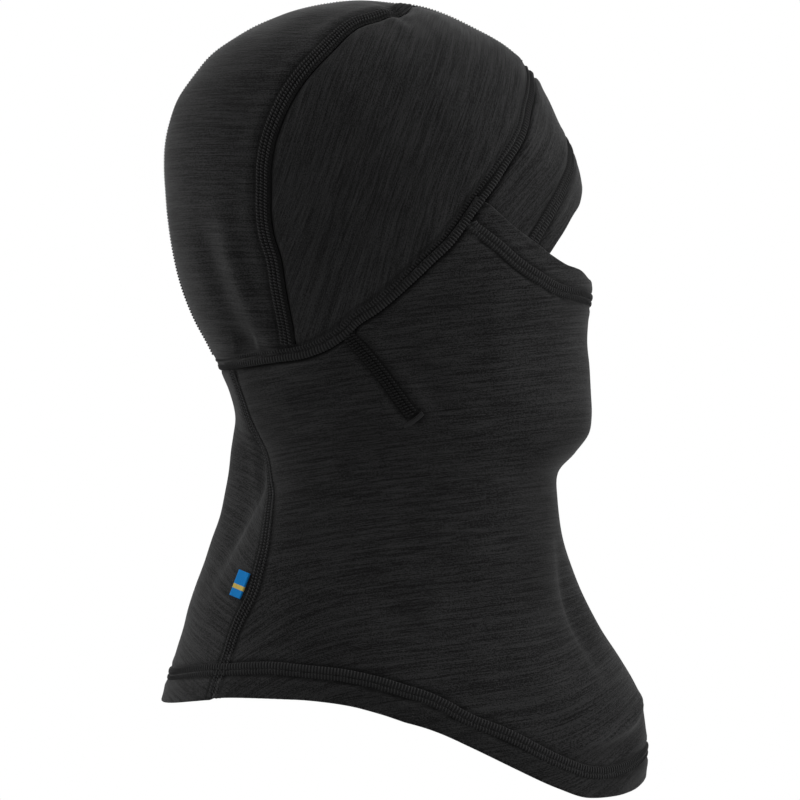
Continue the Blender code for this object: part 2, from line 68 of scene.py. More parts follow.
# Sections: z at the back, drop of the front, y back, y front, half width, y of the widest point and
# exponent; where the neck folds, also y of the folds beside the back's middle, the same at the
# front, and the half widths of those folds
SECTION_ROWS = [
    (99.2, 0, 6, 6, 0, 6, 2.0),
    (97.0, 0, 29, -20, 22, 6, 2.0),
    (92.0, 0, 46.5, -38, 37.5, 6, 2.05),
    (84.0, 0, 64.5, -54.6, 50, 5, 2.1),
    (74.0, 0, 80.4, -71.8, 60.5, 4, 2.15),
    (62.0, 0, 92, -84, 68.8, 3, 2.2),
    (49.0, 0, 101, -92.3, 74, 2, 2.2),
    (36.0, 0, 106.2, -98.2, 76.9, 1, 2.2),
    (23.0, 0, 108.8, -104, 78, 0, 2.2),
    (10.0, 0, 109.4, -108.9, 78.2, -1, 2.15),
    (-3.0, 0, 108.2, -111.2, 77.6, -2, 2.1),
    (-16.0, 0, 106.8, -112.2, 76.8, -3, 2.1),
    (-29.0, 0, 105.2, -113.4, 75.8, -4, 2.1),
    (-42.0, 0, 102.6, -115, 74.2, -6, 2.1),
    (-55.0, 0, 98.8, -115.7, 72.2, -8, 2.1),
    (-68.0, 0, 93.4, -114.4, 70, -10, 2.1),
    (-81.0, 0, 86.4, -113.2, 67.8, -12, 2.1),
    (-94.0, 0, 80.4, -114.4, 65.8, -14, 2.1),
    (-107.0, 0, 75.2, -115.4, 64.2, -16, 2.1),
    (-119.0, 0, 72.2, -115.9, 63, -17, 2.15, 71.4, -115.9, 28, 26),
    (-129.0, 0, 72.8, -114.2, 62.2, -17, 2.25, 66.4, -114.2, 28, 26),
    (-138.0, 0.5, 74, -106.8, 61.5, -15, 2.35, 61.6, -106.8, 27, 26),
    (-147.0, 1.5, 75.2, -98.2, 61.2, -13, 2.4, 60.0, -98.2, 27, 26),
    (-158.0, 4, 77.2, -97.6, 61.4, -12, 2.45, 60.6, -97.6, 28, 26),
    (-170.0, 8, 79.8, -99.4, 62.2, -11, 2.45, 66.5, -98.6, 29, 26),
    (-182.0, 13, 83.6, -104.2, 63.6, -10, 2.45, 73.5, -100.8, 30, 26),
    (-194.0, 18, 87.2, -110.2, 65.6, -9, 2.4, 81.2, -103.3, 32, 26),
    (-206.5, 23, 92.2, -119.6, 68.2, -9, 2.3, 89.2, -110.5, 34, 28),
    (-219.0, 28, 96.2, -131.0, 71, -9, 2.2, 96.2, -124.0, 36, 34),
    (-231.5, 33, 99.6, -140.4, 73.6, -9, 2.15, 99.6, -138.6, 36, 40),
    (-244.0, 38, 103.4, -144.3, 76, -9, 2.1, 103.4, -143.8, 36, 46),
    (-256.5, 42, 107.4, -144.9, 77.8, -9, 2.1, 107.4, -144.3, 36, 46),
    (-267.5, 46, 110.2, -143.6, 79, -9, 2.1, 110.2, -143.6, 36, 46),
]
FOLD_HALVES = (30, 26)
SECTIONS = np.array([row if len(row) == 11 else (*row, row[2], row[3], *FOLD_HALVES)
                     for row in SECTION_ROWS], float)

# Lines on the cloth, as (v, t)
REAR = [(0.92, 1.0), (1.4, 0.72), (2.14, 0.623), (2.67, 0.529), (3.18, 0.474), (4.67, 0.422),
        (6.01, 0.384), (7.29, 0.362), (8.46, 0.346), (9.47, 0.335), (10.44, 0.329), (11.29, 0.327),
        (12.01, 0.329), (12.86, 0.334), (13.93, 0.331), (14.92, 0.326), (15.69, 0.319), (16.45, 0.308)]
BASE = [(4.88, 1.0), (4.95, 0.95), (5.15, 0.91), (5.55, 0.872), (6.01, 0.840), (6.65, 0.804),
        (7.26, 0.778), (8.09, 0.739), (8.86, 0.704), (9.66, 0.675), (10.46, 0.647), (11.24, 0.622),
        (12.09, 0.593), (12.81, 0.560), (13.69, 0.522), (14.52, 0.485), (15.08, 0.449),
        (15.56, 0.424), (15.91, 0.399), (16.17, 0.372), (16.39, 0.335), (16.52, 0.280),
        (16.65, 0.216), (16.79, 0.115), (16.8, 0.05), (16.8, 0.0)]
NECK = [(16.77, 0.126), (17.93, 0.122), (18.80, 0.128), (20.0, 0.132), (21.4, 0.142), (22.51, 0.156),
        (23.24, 0.183), (24.27, 0.222), (25.41, 0.254), (26.65, 0.270), (27.65, 0.271),
        (28.66, 0.255), (29.39, 0.246), (30.24, 0.241), (30.90, 0.236), (31.9, 0.230)]
BROW_EDGE = [(9.58, 1.0), (9.60, 0.987), (9.75, 0.967), (10.04, 0.944), (10.41, 0.920), (10.81, 0.884),
             (11.18, 0.857), (11.85, 0.818), (12.52, 0.783), (13.0, 0.75), (13.25, 0.712)]
UNDERLAP = [(12.45, 0.577), (12.8, 0.62), (13.12, 0.665), (13.25, 0.712)]
MASK_EDGE = [(13.54, 1.0), (13.54, 0.985), (13.51, 0.965), (13.45, 0.927), (13.16, 0.878), (12.97, 0.826),
             (12.57, 0.782), (12.20, 0.756), (11.61, 0.715), (10.86, 0.676), (10.57, 0.659),
             (10.42, 0.648)]
BOTTOM = [(32.05, 0.0), (32.05, 0.1), (31.9, 0.17), (31.8, 0.22), (31.85, 0.29), (31.9, 0.387),
          (31.55, 0.469), (31.18, 0.541), (31.2, 0.595), (31.38, 0.65), (31.72, 0.716),
          (32.0, 0.77), (32.03, 0.83), (31.93, 0.89), (31.77, 0.935), (31.66, 0.97), (31.63, 0.987),
          (31.62, 1.0)]
BROW_STITCH = [(7.77, 1.0), (8.1, 0.955), (8.6, 0.915), (9.1, 0.885), (9.95, 0.839),
               (10.87, 0.797), (11.7, 0.763), (12.15, 0.746)]
MASK_STITCH = [(14.3, 1.0), (14.2, 0.92), (14.06, 0.84), (13.86, 0.791), (13.55, 0.757),
               (13.0, 0.713), (12.25, 0.676), (11.55, 0.640), (11.32, 0.6345)]
BOTTOM_STITCH = [(30.83, 0.0), (30.83, 0.075), (30.70, 0.156), (30.63, 0.212), (30.63, 0.257),
                 (30.60, 0.331), (30.70, 0.394), (30.56, 0.447), (30.38, 0.494), (30.22, 0.534),
                 (30.26, 0.563), (30.40, 0.592), (30.47, 0.644), (30.81, 0.701), (31.06, 0.742),
                 (31.22, 0.774), (31.27, 0.813), (31.13, 0.868), (30.88, 0.923), (30.75, 0.97),
                 (30.72, 1.0)]
DART = [(15.64, 0.428), (17.08, 0.468), (18.68, 0.505), (19.03, 0.513)]
TACK = [(19.54, 0.499), (18.82, 0.528)]
CREST_FRONT = [(0.92, 1.0), (2.9, 1.0), (4.88, 1.0)]
CREST_BACK = [(0.92, 1.0), (0.46, 1.0), (0.0, 1.0), (1.0, 0.0), (8.0, 0.0), (16.8, 0.0)]
OVERLAP_CORNERS = [(-53, -9), (-91, -34.5), (-80, -46), (-31, -38.5)]

# Soft folds: line, height, half width, which panels show it
FOLDS = [
    ([(10.6, 0.235), (11.34, 0.248), (13.21, 0.260), (15.11, 0.271), (16.0, 0.275)], 2.4, 6, "crown"),
    ([(11.0, 0.185), (12.33, 0.197), (14.31, 0.208), (16.0, 0.215)], -1.9, 7, "crown"),
    ([(16.0, 0.18), (16.1, 0.21), (16.0, 0.25)], -3.0, 6, "crown"),
    ([(17.2, 0.14), (17.15, 0.2), (17.05, 0.27)], -1.8, 4, "mask"),
    ([(17.7, 0.540), (18.3, 0.546), (18.9, 0.54)], -1.2, 7, "mask"),
    ([(18.8, 0.281), (18.44, 0.326), (18.1, 0.374)], -1.3, 10, "mask"),
    ([(19.8, 0.32), (19.3, 0.37), (18.7, 0.42)], 0.6, 8, "mask"),
    ([(20.5, 0.403), (19.96, 0.436), (19.14, 0.471)], -1.0, 10, "mask"),
    ([(12.4, 0.672), (13.6, 0.667), (15.1, 0.668), (16.7, 0.667), (18.0, 0.66)], 0.8, 9, "mask"),
    ([(14.6, 0.79), (16.2, 0.80), (18.2, 0.80)], -0.6, 12, "mask"),
    ([(29.15, 0.985), (29.25, 0.957), (29.42, 0.936), (29.76, 0.883), (29.99, 0.841), (30.17, 0.804),
      (30.28, 0.778), (30.42, 0.740)], 3.6, 3.6, "mask"),
    ([(29.7, 0.97), (29.83, 0.938), (30.24, 0.875), (30.49, 0.832), (30.67, 0.79), (30.7, 0.75)],
     -2.4, 5, "mask"),
    ([(24.5, 0.55), (25.6, 0.60), (26.6, 0.66)], -0.5, 12, "mask"),
    ([(21.5, 0.70), (23.0, 0.68), (24.5, 0.69)], 0.5, 14, "mask"),
    ([(1.2, 0.60), (2.4, 0.613), (3.0, 0.62)], -1.5, 4, "crown"),
    ([(2.0, 0.575), (3.1, 0.59), (4.0, 0.60)], 1.1, 4.5, "crown"),
    ([(1.3, 0.74), (2.8, 0.67), (4.1, 0.65)], -0.8, 5, "crown"),
    ([(1.4, 0.85), (2.6, 0.78), (3.8, 0.75)], 0.6, 6, "crown"),
    ([(1.6, 0.30), (3.5, 0.30), (6.0, 0.29)], 0.5, 8, "crown"),
    ([(19.2, 0.088), (20.15, 0.094), (21.0, 0.092), (22.5, 0.092), (23.6, 0.109), (24.6, 0.13)],
     1.3, 5, "nape"),
]

# Broad hollows where the cloth lies in its own shade, painted into its colour: place, how much darker, half
# width
HOLLOWS = [
    ([(19.6, 0.93), (20.2, 0.87), (20.9, 0.83)], 0.20, 14, "mask"),
    ([(21.5, 0.84), (23.5, 0.83), (25.5, 0.80)], 0.30, 20, "mask"),
    ([(17.6, 0.17), (19.5, 0.20), (22.0, 0.26), (24.5, 0.31)], 0.28, 14, "mask"),
    ([(30.2, 0.42), (30.9, 0.55), (31.3, 0.68), (31.6, 0.80), (31.4, 0.90)], 0.20, 14, "mask"),
    ([(1.5, 0.30), (3.5, 0.27), (6.0, 0.25)], 0.28, 26, "crown"),
    ([(8.3, 0.93), (9.3, 0.88), (10.5, 0.81), (12.0, 0.76)], 0.22, 8, "crown"),
]


def extended_rows():
    """The sections with one more past the crown, mirrored through it, and one past the hem."""
    first = SECTIONS[1].copy()
    for k in (2, 3, 7, 8):
        first[k] = 2 * SECTIONS[0][k] - SECTIONS[1][k]
    first[4] = -SECTIONS[1][4]
    return np.vstack([first, SECTIONS, 2 * SECTIONS[-1] - SECTIONS[-2]])


ROWS = extended_rows()
LAST = len(SECTIONS) - 1


def rows_at(v):
    i = np.clip(np.floor(v).astype(int), 0, LAST - 1)
    f = (v - i)[..., None]
    p0, p1, p2, p3 = (ROWS[i + k] for k in range(4))
    ease = 2 * p0 - 5 * p1 + 4 * p2 - p3 + f * (3 * p1 - p0 - 3 * p2 + p3)
    return p1 + 0.5 * f * ((p2 - p0) + f * ease)


def front_share(s):
    a = np.clip((s - 0.28) / 0.60, 0, 1)
    return a * a * (3 - 2 * a) - 0.11 * np.sin(np.pi * np.clip(s / 0.5, 0, 1))


def surface(v, t):
    """Smooth skin of the filled hood, before its seams and small folds."""
    r = rows_at(np.asarray(v, float))
    z_back, drop, back, front, wide, mid, power, lobe_b, lobe_f, half_b, half_f = np.moveaxis(r, -1, 0)
    c, s = np.cos(np.pi * t), np.sin(np.pi * t)
    e = 2 / np.maximum(power, 1.9)
    reach = np.where(c >= 0, lobe_b - mid, mid - lobe_f)
    y = mid + np.sign(c) * np.abs(c) ** e * reach
    x = np.sign(s) * np.maximum(wide, 0) * np.abs(s) ** e
    q = np.abs(x)
    for fold, half, facing, way in ((lobe_f - front, half_f, -c, -1), (back - lobe_b, half_b, c, 1)):
        bulge = np.clip(1 - (q / half) ** 2, 0, 1) ** 1.6
        valley = np.clip(fold / 10, 0, 1) * 2.0 * np.exp(-((q - half * 0.86) / 5.0) ** 2)
        y = y + way * np.clip(facing / 0.25, 0, 1) * (fold * bulge - valley)
    share = (lobe_b - y) / np.maximum(lobe_b - lobe_f, 1e-6)
    return np.stack([x, y, z_back - drop * front_share(np.clip(share, 0, 1.2))], -1)


def to_plane(vt):
    """(v, t) as a point of the flat chart that has the crown at its middle."""
    vt = np.asarray(vt, float)
    return np.stack([vt[..., 0] * np.cos(np.pi * vt[..., 1]), vt[..., 0] * np.sin(np.pi * vt[..., 1])], -1)


def on_plane(q):
    return surface(np.hypot(q[..., 0], q[..., 1]), np.arctan2(q[..., 1], q[..., 0]) / np.pi)


def slopes(q):
    """Derivatives of the skin along the chart's two axes, and its outward normal."""
    e = 0.02
    dx = (on_plane(q + (e, 0)) - on_plane(q - (e, 0))) / (2 * e)
    dy = (on_plane(q + (0, e)) - on_plane(q - (0, e))) / (2 * e)
    n = np.cross(dx, dy)
    n /= np.maximum(np.linalg.norm(n, axis=-1), 1e-9)[..., None]
    p = on_plane(q)
    away = p - np.stack([0 * p[..., 0], -5 + 0 * p[..., 0], np.minimum(p[..., 2], 20)], -1)
    n *= np.where((n * away).sum(-1) < 0, -1.0, 1.0)[..., None]
    return p, dx, dy, n


def smooth(points, count=14):
    """Dense Catmull-Rom curve through the points."""
    pts = np.asarray(points, float)
    ext = np.vstack([2 * pts[0] - pts[1], pts, 2 * pts[-1] - pts[-2]])
    out = []
    for i in range(len(pts) - 1):
        p0, p1, p2, p3 = ext[i:i + 4]
        f = np.linspace(0, 1, count, endpoint=False)[:, None]
        ease = 2 * p0 - 5 * p1 + 4 * p2 - p3 + f * (3 * p1 - p0 - 3 * p2 + p3)
        out.append(p1 + 0.5 * f * (p2 - p0 + f * ease))
    return np.vstack(out + [pts[-1:]])


def curve(vt):
    """Dense chart points of a line; near the crown it is smoothed in the chart, lower down by turn."""
    vt = np.asarray(vt, float)
    if vt[:, 0].min() < 4:
        return smooth(to_plane(vt))
    return to_plane(smooth(vt * (1, 30)) * (1, 1 / 30))


def run_along(points):
    """Distance run along a row of points."""
    return np.concatenate([[0], np.cumsum(np.linalg.norm(np.diff(points, axis=0), axis=1))])


def line_on_cloth(vt):
    """Chart points of a named line, dense, and the distance run along them."""
    q = curve(vt)
    return q, run_along(on_plane(q))


def chart_at(q, run, at):
    """Chart points at distances along a dense line."""
    return np.stack([np.interp(at, run, q[:, k]) for k in range(2)], -1)


def sample(vt, at=None, step=None):
    """Chart points of a line at given distances along it, or about a step apart."""
    q, run = line_on_cloth(vt)
    if at is None:
        at = np.linspace(0, run[-1], max(2, int(round(run[-1] / step)) + 1))
    return chart_at(q, run, at)


def nearest(p, line):
    """Distance to the nearest point of a line, and which one."""
    best, which = np.empty(len(p)), np.empty(len(p), int)
    for i in range(0, len(p), 4000):
        d = ((p[i:i + 4000, None, :] - line[None]) ** 2).sum(-1)
        which[i:i + 4000] = d.argmin(1)
        best[i:i + 4000] = d.min(1)
    return np.sqrt(best), which


def bump(d, at, wide):
    return np.exp(-((d - at) / wide) ** 2)


def eased(x):
    x = np.clip(x, 0, 1)
    return x * x * (3 - 2 * x)


SEAM_POINTS = {}
for label, line_vt in (("rear", REAR), ("base", BASE), ("neck", NECK), ("dart", DART), ("tack", TACK),
                       ("brow", BROW_STITCH), ("mask", MASK_STITCH), ("bottom", BOTTOM_STITCH),
                       ("crest_front", CREST_FRONT), ("crest_back", CREST_BACK)):
    SEAM_POINTS[label] = on_plane(sample(line_vt, step=SEAM_STEP))
EDGE_POINTS = {"brow": on_plane(sample(BROW_EDGE, step=1.5)),
               "mask": on_plane(sample(MASK_EDGE, step=1.5)),
               "bottom": on_plane(sample(BOTTOM, step=2.0))}
FOLD_POINTS = []
for fold_vt, height, half_width, where in FOLDS:
    pts = on_plane(sample(fold_vt, step=2.0))
    ends = np.sin(np.pi * np.linspace(0.06, 0.94, len(pts))) ** 0.8
    FOLD_POINTS.append((pts, height * ends, half_width, where))

HOLLOW_POINTS = [(on_plane(sample(line_vt, step=3.0)), deep, wide, where)
                 for line_vt, deep, wide, where in HOLLOWS]

# Seams that mark each kind of panel, and the part that panel's cloth plays in the seam
MARKS = {
    "crown_side": (("rear", "shadow"), ("base", "over"), ("crest_front", "flush")),
    "crown_back": (("rear", "over"), ("base", "over"), ("crest_back", "flush")),
    "forehead": (("base", "under"),),
    "mask": (("base", "under"), ("neck", "flat"), ("dart", "tuck")),
    "nape": (("base", "under"), ("neck", "flat")),
}
HEMS = {"forehead": ("brow",), "mask": ("mask", "bottom"), "nape": ("bottom",)}
FAMILY = {"crown_side": "crown", "crown_back": "crown", "forehead": "crown",
          "mask": "mask", "nape": "nape"}


def overlap_lift(p):
    """Lift of the mask over the forehead panel, fading with distance from their overlap."""
    q = p[:, 1:]
    inside, gap = np.ones(len(q), bool), np.full(len(q), 1e9)
    corners = np.array(OVERLAP_CORNERS, float)
    for a, b in zip(corners, np.roll(corners, -1, axis=0)):
        edge, rel = b - a, q - a
        along = np.clip(rel @ edge / (edge @ edge), 0, 1)
        gap = np.minimum(gap, np.linalg.norm(rel - along[:, None] * edge, axis=1))
        inside &= edge[0] * rel[:, 1] - edge[1] * rel[:, 0] >= 0
    return OVERLAP_LIFT * np.where(inside, 1.0, 1 - eased((gap - 6) / 26))


def in_hem(p, hem):
    """1 between a hem's stitching and its edge, 0 on the single cloth beyond the stitching."""
    to_stitch, i = nearest(p, SEAM_POINTS[hem])
    to_edge, _ = nearest(p, EDGE_POINTS[hem])
    width, _ = nearest(SEAM_POINTS[hem], EDGE_POINTS[hem])
    return eased(0.5 + (width[i] - to_edge) / 2.4), to_stitch, to_edge


def left_half(p):
    """Points moved to the wearer's left half, because both halves share one relief."""
    p = np.array(p)
    p[:, 0] = np.abs(p[:, 0])
    return p


def soft_relief(p, kind):
    """Height of ripples, folds and overlap over the smooth skin, and the painted light and shade of the
    folds.
    """
    x, y, z = p.T
    height = 0.28 * np.sin(x / 9.1 + y / 12.7 + 1.3) * np.sin(z / 10.3 - y / 17.0 + 0.4)
    height += 0.22 * np.sin(y / 6.7 - z / 15.1 + 0.9) * np.sin(z / 7.9 + x / 11.3)
    shade = np.ones(len(p))
    for pts, high, wide, where in FOLD_POINTS:
        if where == FAMILY[kind.split("+")[0]]:
            d, i = nearest(p, pts)
            height += high[i] * bump(d, 0, wide)
            # painted light on the fold's ridge, painted shade in its valley
            steep = np.clip(high[i], -DEEPEST_SHADED, DEEPEST_SHADED)
            shade *= 1 + steep * FOLD_SHADE * bump(d, 0, 0.7 * wide)
    if kind.endswith("mask"):
        height += overlap_lift(p)
    return height, shade


def relief(p, kind):
    """Height over the smooth skin, cloth thickness and painted shade at points of one panel."""
    p = left_half(p)
    y, z = p[:, 1], p[:, 2]
    height, shade = soft_relief(p, kind)
    thick = np.full(len(p), CLOTH)
    # painted shade in the broad hollows
    for pts, deep, wide, where in HOLLOW_POINTS:
        if where == FAMILY[kind]:
            shade *= 1 - deep * bump(nearest(p, pts)[0], 0, wide)
    calm = eased((98.0 - z) / 5.0) * (1 - 0.75 * eased((y - 56) / 16) * eased((-60 - z) / 20))
    # Each seam lowers or raises the cloth beside it and paints shade into its colour: a dark line along the
    # crack beside the band, and over the dart's groove
    for seam, role in MARKS[kind]:
        d, i = nearest(p, SEAM_POINTS[seam])
        if role == "tuck":
            height += -1.3 * np.exp(-(d / 4.6) ** 4) + 0.5 * bump(d, 8.5, 3.0)
            shade *= 1 - 0.5 * np.exp(-(d / 5.0) ** 4)
            continue
        if role == "flush":
            height -= 0.25 * np.exp(-(d / 4.4) ** 4)
            shade *= 1 - 0.8 * bump(d, 4.2, 0.8)
            continue
        if role == "flat":
            height -= 0.35 * np.exp(-(d / 4.4) ** 4)
            shade *= 1 - 0.7 * bump(d, 4.1, 0.7)
            continue
        ripple = 0.16 * np.sin(i * SEAM_STEP / 5.3) + 0.12 * np.sin(i * SEAM_STEP / 2.9 + 1)
        height += calm * (-0.55 * np.exp(-(d / 5.2) ** 4) + (0.45 + ripple) * bump(d, 8.2, 3.4))
        if role == "over":
            shade *= 1 - 0.55 * bump(d, 4.2, 0.8)
            continue
        height -= calm * 1.5 * bump(d, 4.2, 1.0)
        shade *= 1 - 0.92 * bump(d, 4.5, 1.0)
        if role == "shadow":
            height -= calm * 1.1 * bump(d, 2.0, 10.0)
    for hem in HEMS.get(kind, ()):
        folded, to_stitch, to_edge = in_hem(p, hem)
        height += 0.30 * folded - 0.5 * bump(to_stitch, HEM_ROWS, 0.9)
        height += 0.35 * bump(to_stitch, HEM_ROWS + 3.2, 2.2)
        # painted shade along the hem's stitching
        shade *= 1 - 0.75 * bump(to_stitch, HEM_ROWS + 0.3, 0.8)
        thick += (HEM_CLOTH - CLOTH) * folded
    return height, thick, shade


def skin(q, kind):
    """Outer face of a panel at chart points: position, normal, thickness and painted shade."""
    shape = q.shape[:-1]
    flat = q.reshape(-1, 2)
    p, _, _, n = slopes(flat)
    height, thick, shade = relief(p, kind)
    return ((p + n * height[:, None]).reshape(*shape, 3), n.reshape(*shape, 3),
            thick.reshape(shape), shade.reshape(shape), p.reshape(*shape, 3))


def spread(length, start, end, inner):
    """Distances along a grid line, closer together where it leaves a seam or a hem's edge."""
    near = {"seam": [0, 2.2, 3.4, 3.9, 4.4, 5.0, 5.8, 6.8, 8.2], "edge": [0, 0.6, 1.4, 2.6],
            "hem": [0, 0.6, 1.4, 2.6], "plain": [0]}
    head, tail = np.array(near[start], float), np.array(near[end], float)
    middle = np.linspace(head[-1], length - tail[-1], inner + 2)[1:-1]
    return np.concatenate([head, middle, length - tail[::-1]])


def patch(left, right, top, bottom, ends_uw, chart="vt"):
    """Grid of chart points between four lines that run left to right and top to bottom."""
    (u0, u1), (w0, w1) = ends_uw
    runs = {}
    for key, line in (("l", left), ("r", right), ("t", top), ("b", bottom)):
        runs[key] = line_on_cloth(line)[1][-1] if line is not None else 0.0
    inner_w = int(max(runs["l"], runs["r"]) / STEP)
    inner_u = int(max(runs["t"], runs["b"]) / STEP)

    def line_at(key, line, start, end, inner):
        if line is None:
            return None, None
        at = spread(runs[key], start, end, inner)
        return sample(line, at=at), at / runs[key]

    ql, wl = line_at("l", left, w0, w1, inner_w)
    qr, wr = line_at("r", right, w0, w1, inner_w)
    qb, ub = line_at("b", bottom, u0, u1, inner_u)
    if top is None:
        qt, ut = np.repeat(ql[:1], len(qb), axis=0), ub
    else:
        qt, ut = line_at("t", top, u0, u1, inner_u)
    if chart == "vt":
        def unroll(q):
            t = np.arctan2(q[:, 1], q[:, 0]) / np.pi
            return np.stack([np.hypot(q[:, 0], q[:, 1]), np.where(t < -0.5, t + 2, t) * 30], -1)
        ql, qr, qt, qb = unroll(ql), unroll(qr), unroll(qt), unroll(qb)
    w = wl[:, None] * (1 - ub[None, :]) + wr[:, None] * ub[None, :]
    u = ut[None, :] * (1 - w) + ub[None, :] * w
    u, w = u[..., None], w[..., None]
    grid = ((1 - u) * ql[:, None] + u * qr[:, None] + (1 - w) * qt[None] + w * qb[None]
            - ((1 - u) * (1 - w) * ql[0] + u * (1 - w) * qr[0]
               + (1 - u) * w * ql[-1] + u * w * qr[-1]))
    if chart == "vt":
        v, t = grid[..., 0], grid[..., 1] / 30
        return np.stack([v * np.cos(np.pi * t), v * np.sin(np.pi * t)], -1)
    return grid


def both_sides(half):
    """A grid that starts on the middle of the head, joined to its mirror image."""
    return np.concatenate([(half * (1, -1))[:, :0:-1], half], axis=1)


def new_object(name, verts, faces, attributes):
    me = bpy.data.meshes.new(name)
    me.from_pydata((np.asarray(verts) * MM).tolist(), [], faces)
    for label, values in attributes:
        values = np.asarray(values, float)
        kind = "FLOAT" if values.ndim == 1 else "FLOAT_VECTOR"
        layer = me.attributes.new(label, kind, "POINT")
        layer.data.foreach_set("value" if kind == "FLOAT" else "vector", values.ravel())
    me.polygons.foreach_set("use_smooth", [True] * len(me.polygons))
    me.update()
    ob = bpy.data.objects.new(name, me)
    bpy.context.scene.collection.objects.link(ob)
    return ob


def grain_of(kind, p):
    """Distance along and across the knit's streaks, from the cut of each panel."""
    x, y, z = p.T
    side = np.sign(x)
    if kind == "forehead":
        around = np.arctan2(x, -y - 5) * 85
        return np.stack([around, z + 1.2 * np.hypot(around, 22), np.full_like(z, 31)], -1)
    if kind == "crown_side":
        d = p - np.array([0, 0, 10.0])
        polar = np.arccos(np.clip(np.abs(d[:, 0]) / np.linalg.norm(d, axis=1), -1, 1))
        ring = np.maximum(np.hypot(d[:, 1], d[:, 2]), 1e-6)
        a, b = d[:, 1] / ring * polar * 95, d[:, 2] / ring * polar * 95
        lean = math.radians(71)
        return np.stack([-a * math.cos(lean) + b * math.sin(lean),
                         a * math.sin(lean) + b * math.cos(lean), side * 40], -1)
    if kind == "crown_back":
        return np.stack([np.arctan2(y, np.abs(x) + 1e-6) * 90, z - 0.04 * y, side * 40 + 7], -1)
    if kind == "nape":
        around = np.arctan2(x, y + 5) * 85
        return np.stack([around, z + 0.55 * np.hypot(around, 22), np.full_like(z, 13)], -1)
    around = np.arctan2(x, -y - 5) * 85
    low = eased((-185 - z) / 50)
    lean = 0.15 * y + low * (0.0042 * np.maximum(y - 5, 0) ** 2 - 0.0060 * np.maximum(-y - 80, 0) ** 2)
    return np.stack([around, z + lean + 2.5 * np.sin(around / 60 + 1), np.full_like(z, 21)], -1)


def panel(name, kind, q, rims):
    """Closed cloth panel from a grid of chart points; rims are the sides with a rounded free edge."""
    outer, n, thick, shade, base = skin(q, kind)
    inner = outer - n * thick[..., None]
    rows, cols = q.shape[:2]
    index = np.arange(rows * cols).reshape(rows, cols)
    faces = []
    a, b = index[:-1, :-1].ravel(), index[:-1, 1:].ravel()
    c, d = index[1:, 1:].ravel(), index[1:, :-1].ravel()
    quads = np.stack([a, b, c, d], -1)
    e1 = outer.reshape(-1, 3)[quads[:, 1]] - outer.reshape(-1, 3)[quads[:, 0]]
    e2 = outer.reshape(-1, 3)[quads[:, 3]] - outer.reshape(-1, 3)[quads[:, 0]]
    out = (np.cross(e1, e2) * n.reshape(-1, 3)[quads[:, 0]]).sum() > 0
    if not out:
        quads = quads[:, ::-1]
    faces += quads.tolist()
    faces += (quads[:, ::-1] + rows * cols).tolist()
    loop = np.concatenate([index[0, :-1], index[:-1, -1], index[-1, :0:-1], index[:0:-1, 0]])
    inward = np.concatenate([index[1, :-1], index[:-1, -2], index[-2, :0:-1], index[:0:-1, 1]])
    side = np.concatenate([[0] * (cols - 1), [1] * (rows - 1), [2] * (cols - 1), [3] * (rows - 1)])
    po, pi = outer.reshape(-1, 3)[loop], inner.reshape(-1, 3)[loop]
    beyond = po - outer.reshape(-1, 3)[inward]
    length = np.linalg.norm(beyond, axis=1)
    beyond = np.where(length[:, None] > 1e-6, beyond / np.maximum(length, 1e-6)[:, None], 0)
    bulge = np.isin(side, rims).astype(float)
    bulge = np.where(bulge + np.roll(bulge, 1) + np.roll(bulge, -1) > 0, bulge, 0)
    middle, half = (po + pi) / 2, (po - pi) / 2
    radius = np.linalg.norm(half, axis=1)[:, None]
    verts = [outer.reshape(-1, 3), inner.reshape(-1, 3)]
    rings = [loop]
    at = 2 * rows * cols
    for angle in (45, 90, 135):
        s, c = math.sin(math.radians(angle)), math.cos(math.radians(angle))
        verts.append(middle + half * c + beyond * radius * s * bulge[:, None])
        rings.append(np.arange(at, at + len(loop)))
        at += len(loop)
    rings.append(loop + rows * cols)
    for r0, r1 in zip(rings[:-1], rings[1:]):
        strip = np.stack([r0, r1, np.roll(r1, -1), np.roll(r0, -1)], -1)
        faces += (strip if out else strip[:, ::-1]).tolist()
    shades = np.concatenate([shade.ravel(), shade.ravel()] + [shade.ravel()[loop]] * 3)
    grain = grain_of(kind, base.reshape(-1, 3))
    grains = np.concatenate([grain, grain] + [grain[loop]] * 3)
    ob = new_object(name, np.vstack(verts), faces, (("grain", grains), ("shade", shades)))
    bm = bmesh.new()
    bm.from_mesh(ob.data)
    bmesh.ops.remove_doubles(bm, verts=bm.verts, dist=2e-6)
    bmesh.ops.dissolve_degenerate(bm, edges=bm.edges, dist=1e-6)
    bmesh.ops.recalc_face_normals(bm, faces=bm.faces)
    bm.to_mesh(ob.data)
    bm.free()
    return ob


# ---------------------------------------------------------------- materials

def node(tree, kind, **inputs):
    """A new node with values on its named inputs."""
    n = tree.nodes.new(kind)
    for key, value in inputs.items():
        n.inputs[key].default_value = value
    return n


def link(tree, a, b):
    tree.links.new(a, b)


def attribute(tree, name, output):
    n = tree.nodes.new("ShaderNodeAttribute")
    n.attribute_name = name
    return n.outputs[output]


def math_node(tree, operation, a, b=None, clamp=False):
    n = tree.nodes.new("ShaderNodeMath")
    n.operation = operation
    n.use_clamp = clamp
    for slot, value in enumerate((a, b)):
        if value is None:
            continue
        if isinstance(value, (int, float)):
            n.inputs[slot].default_value = value
        else:
            link(tree, value, n.inputs[slot])
    return n.outputs[0]


def add(tree, a, b):
    return math_node(tree, "ADD", a, b)


def times(tree, a, b, clamp=False):
    return math_node(tree, "MULTIPLY", a, b, clamp)


def above(tree, value, floor_value, gain, clamp=False):
    """How far a value is above another, times a gain."""
    return times(tree, math_node(tree, "SUBTRACT", value, floor_value), gain, clamp)


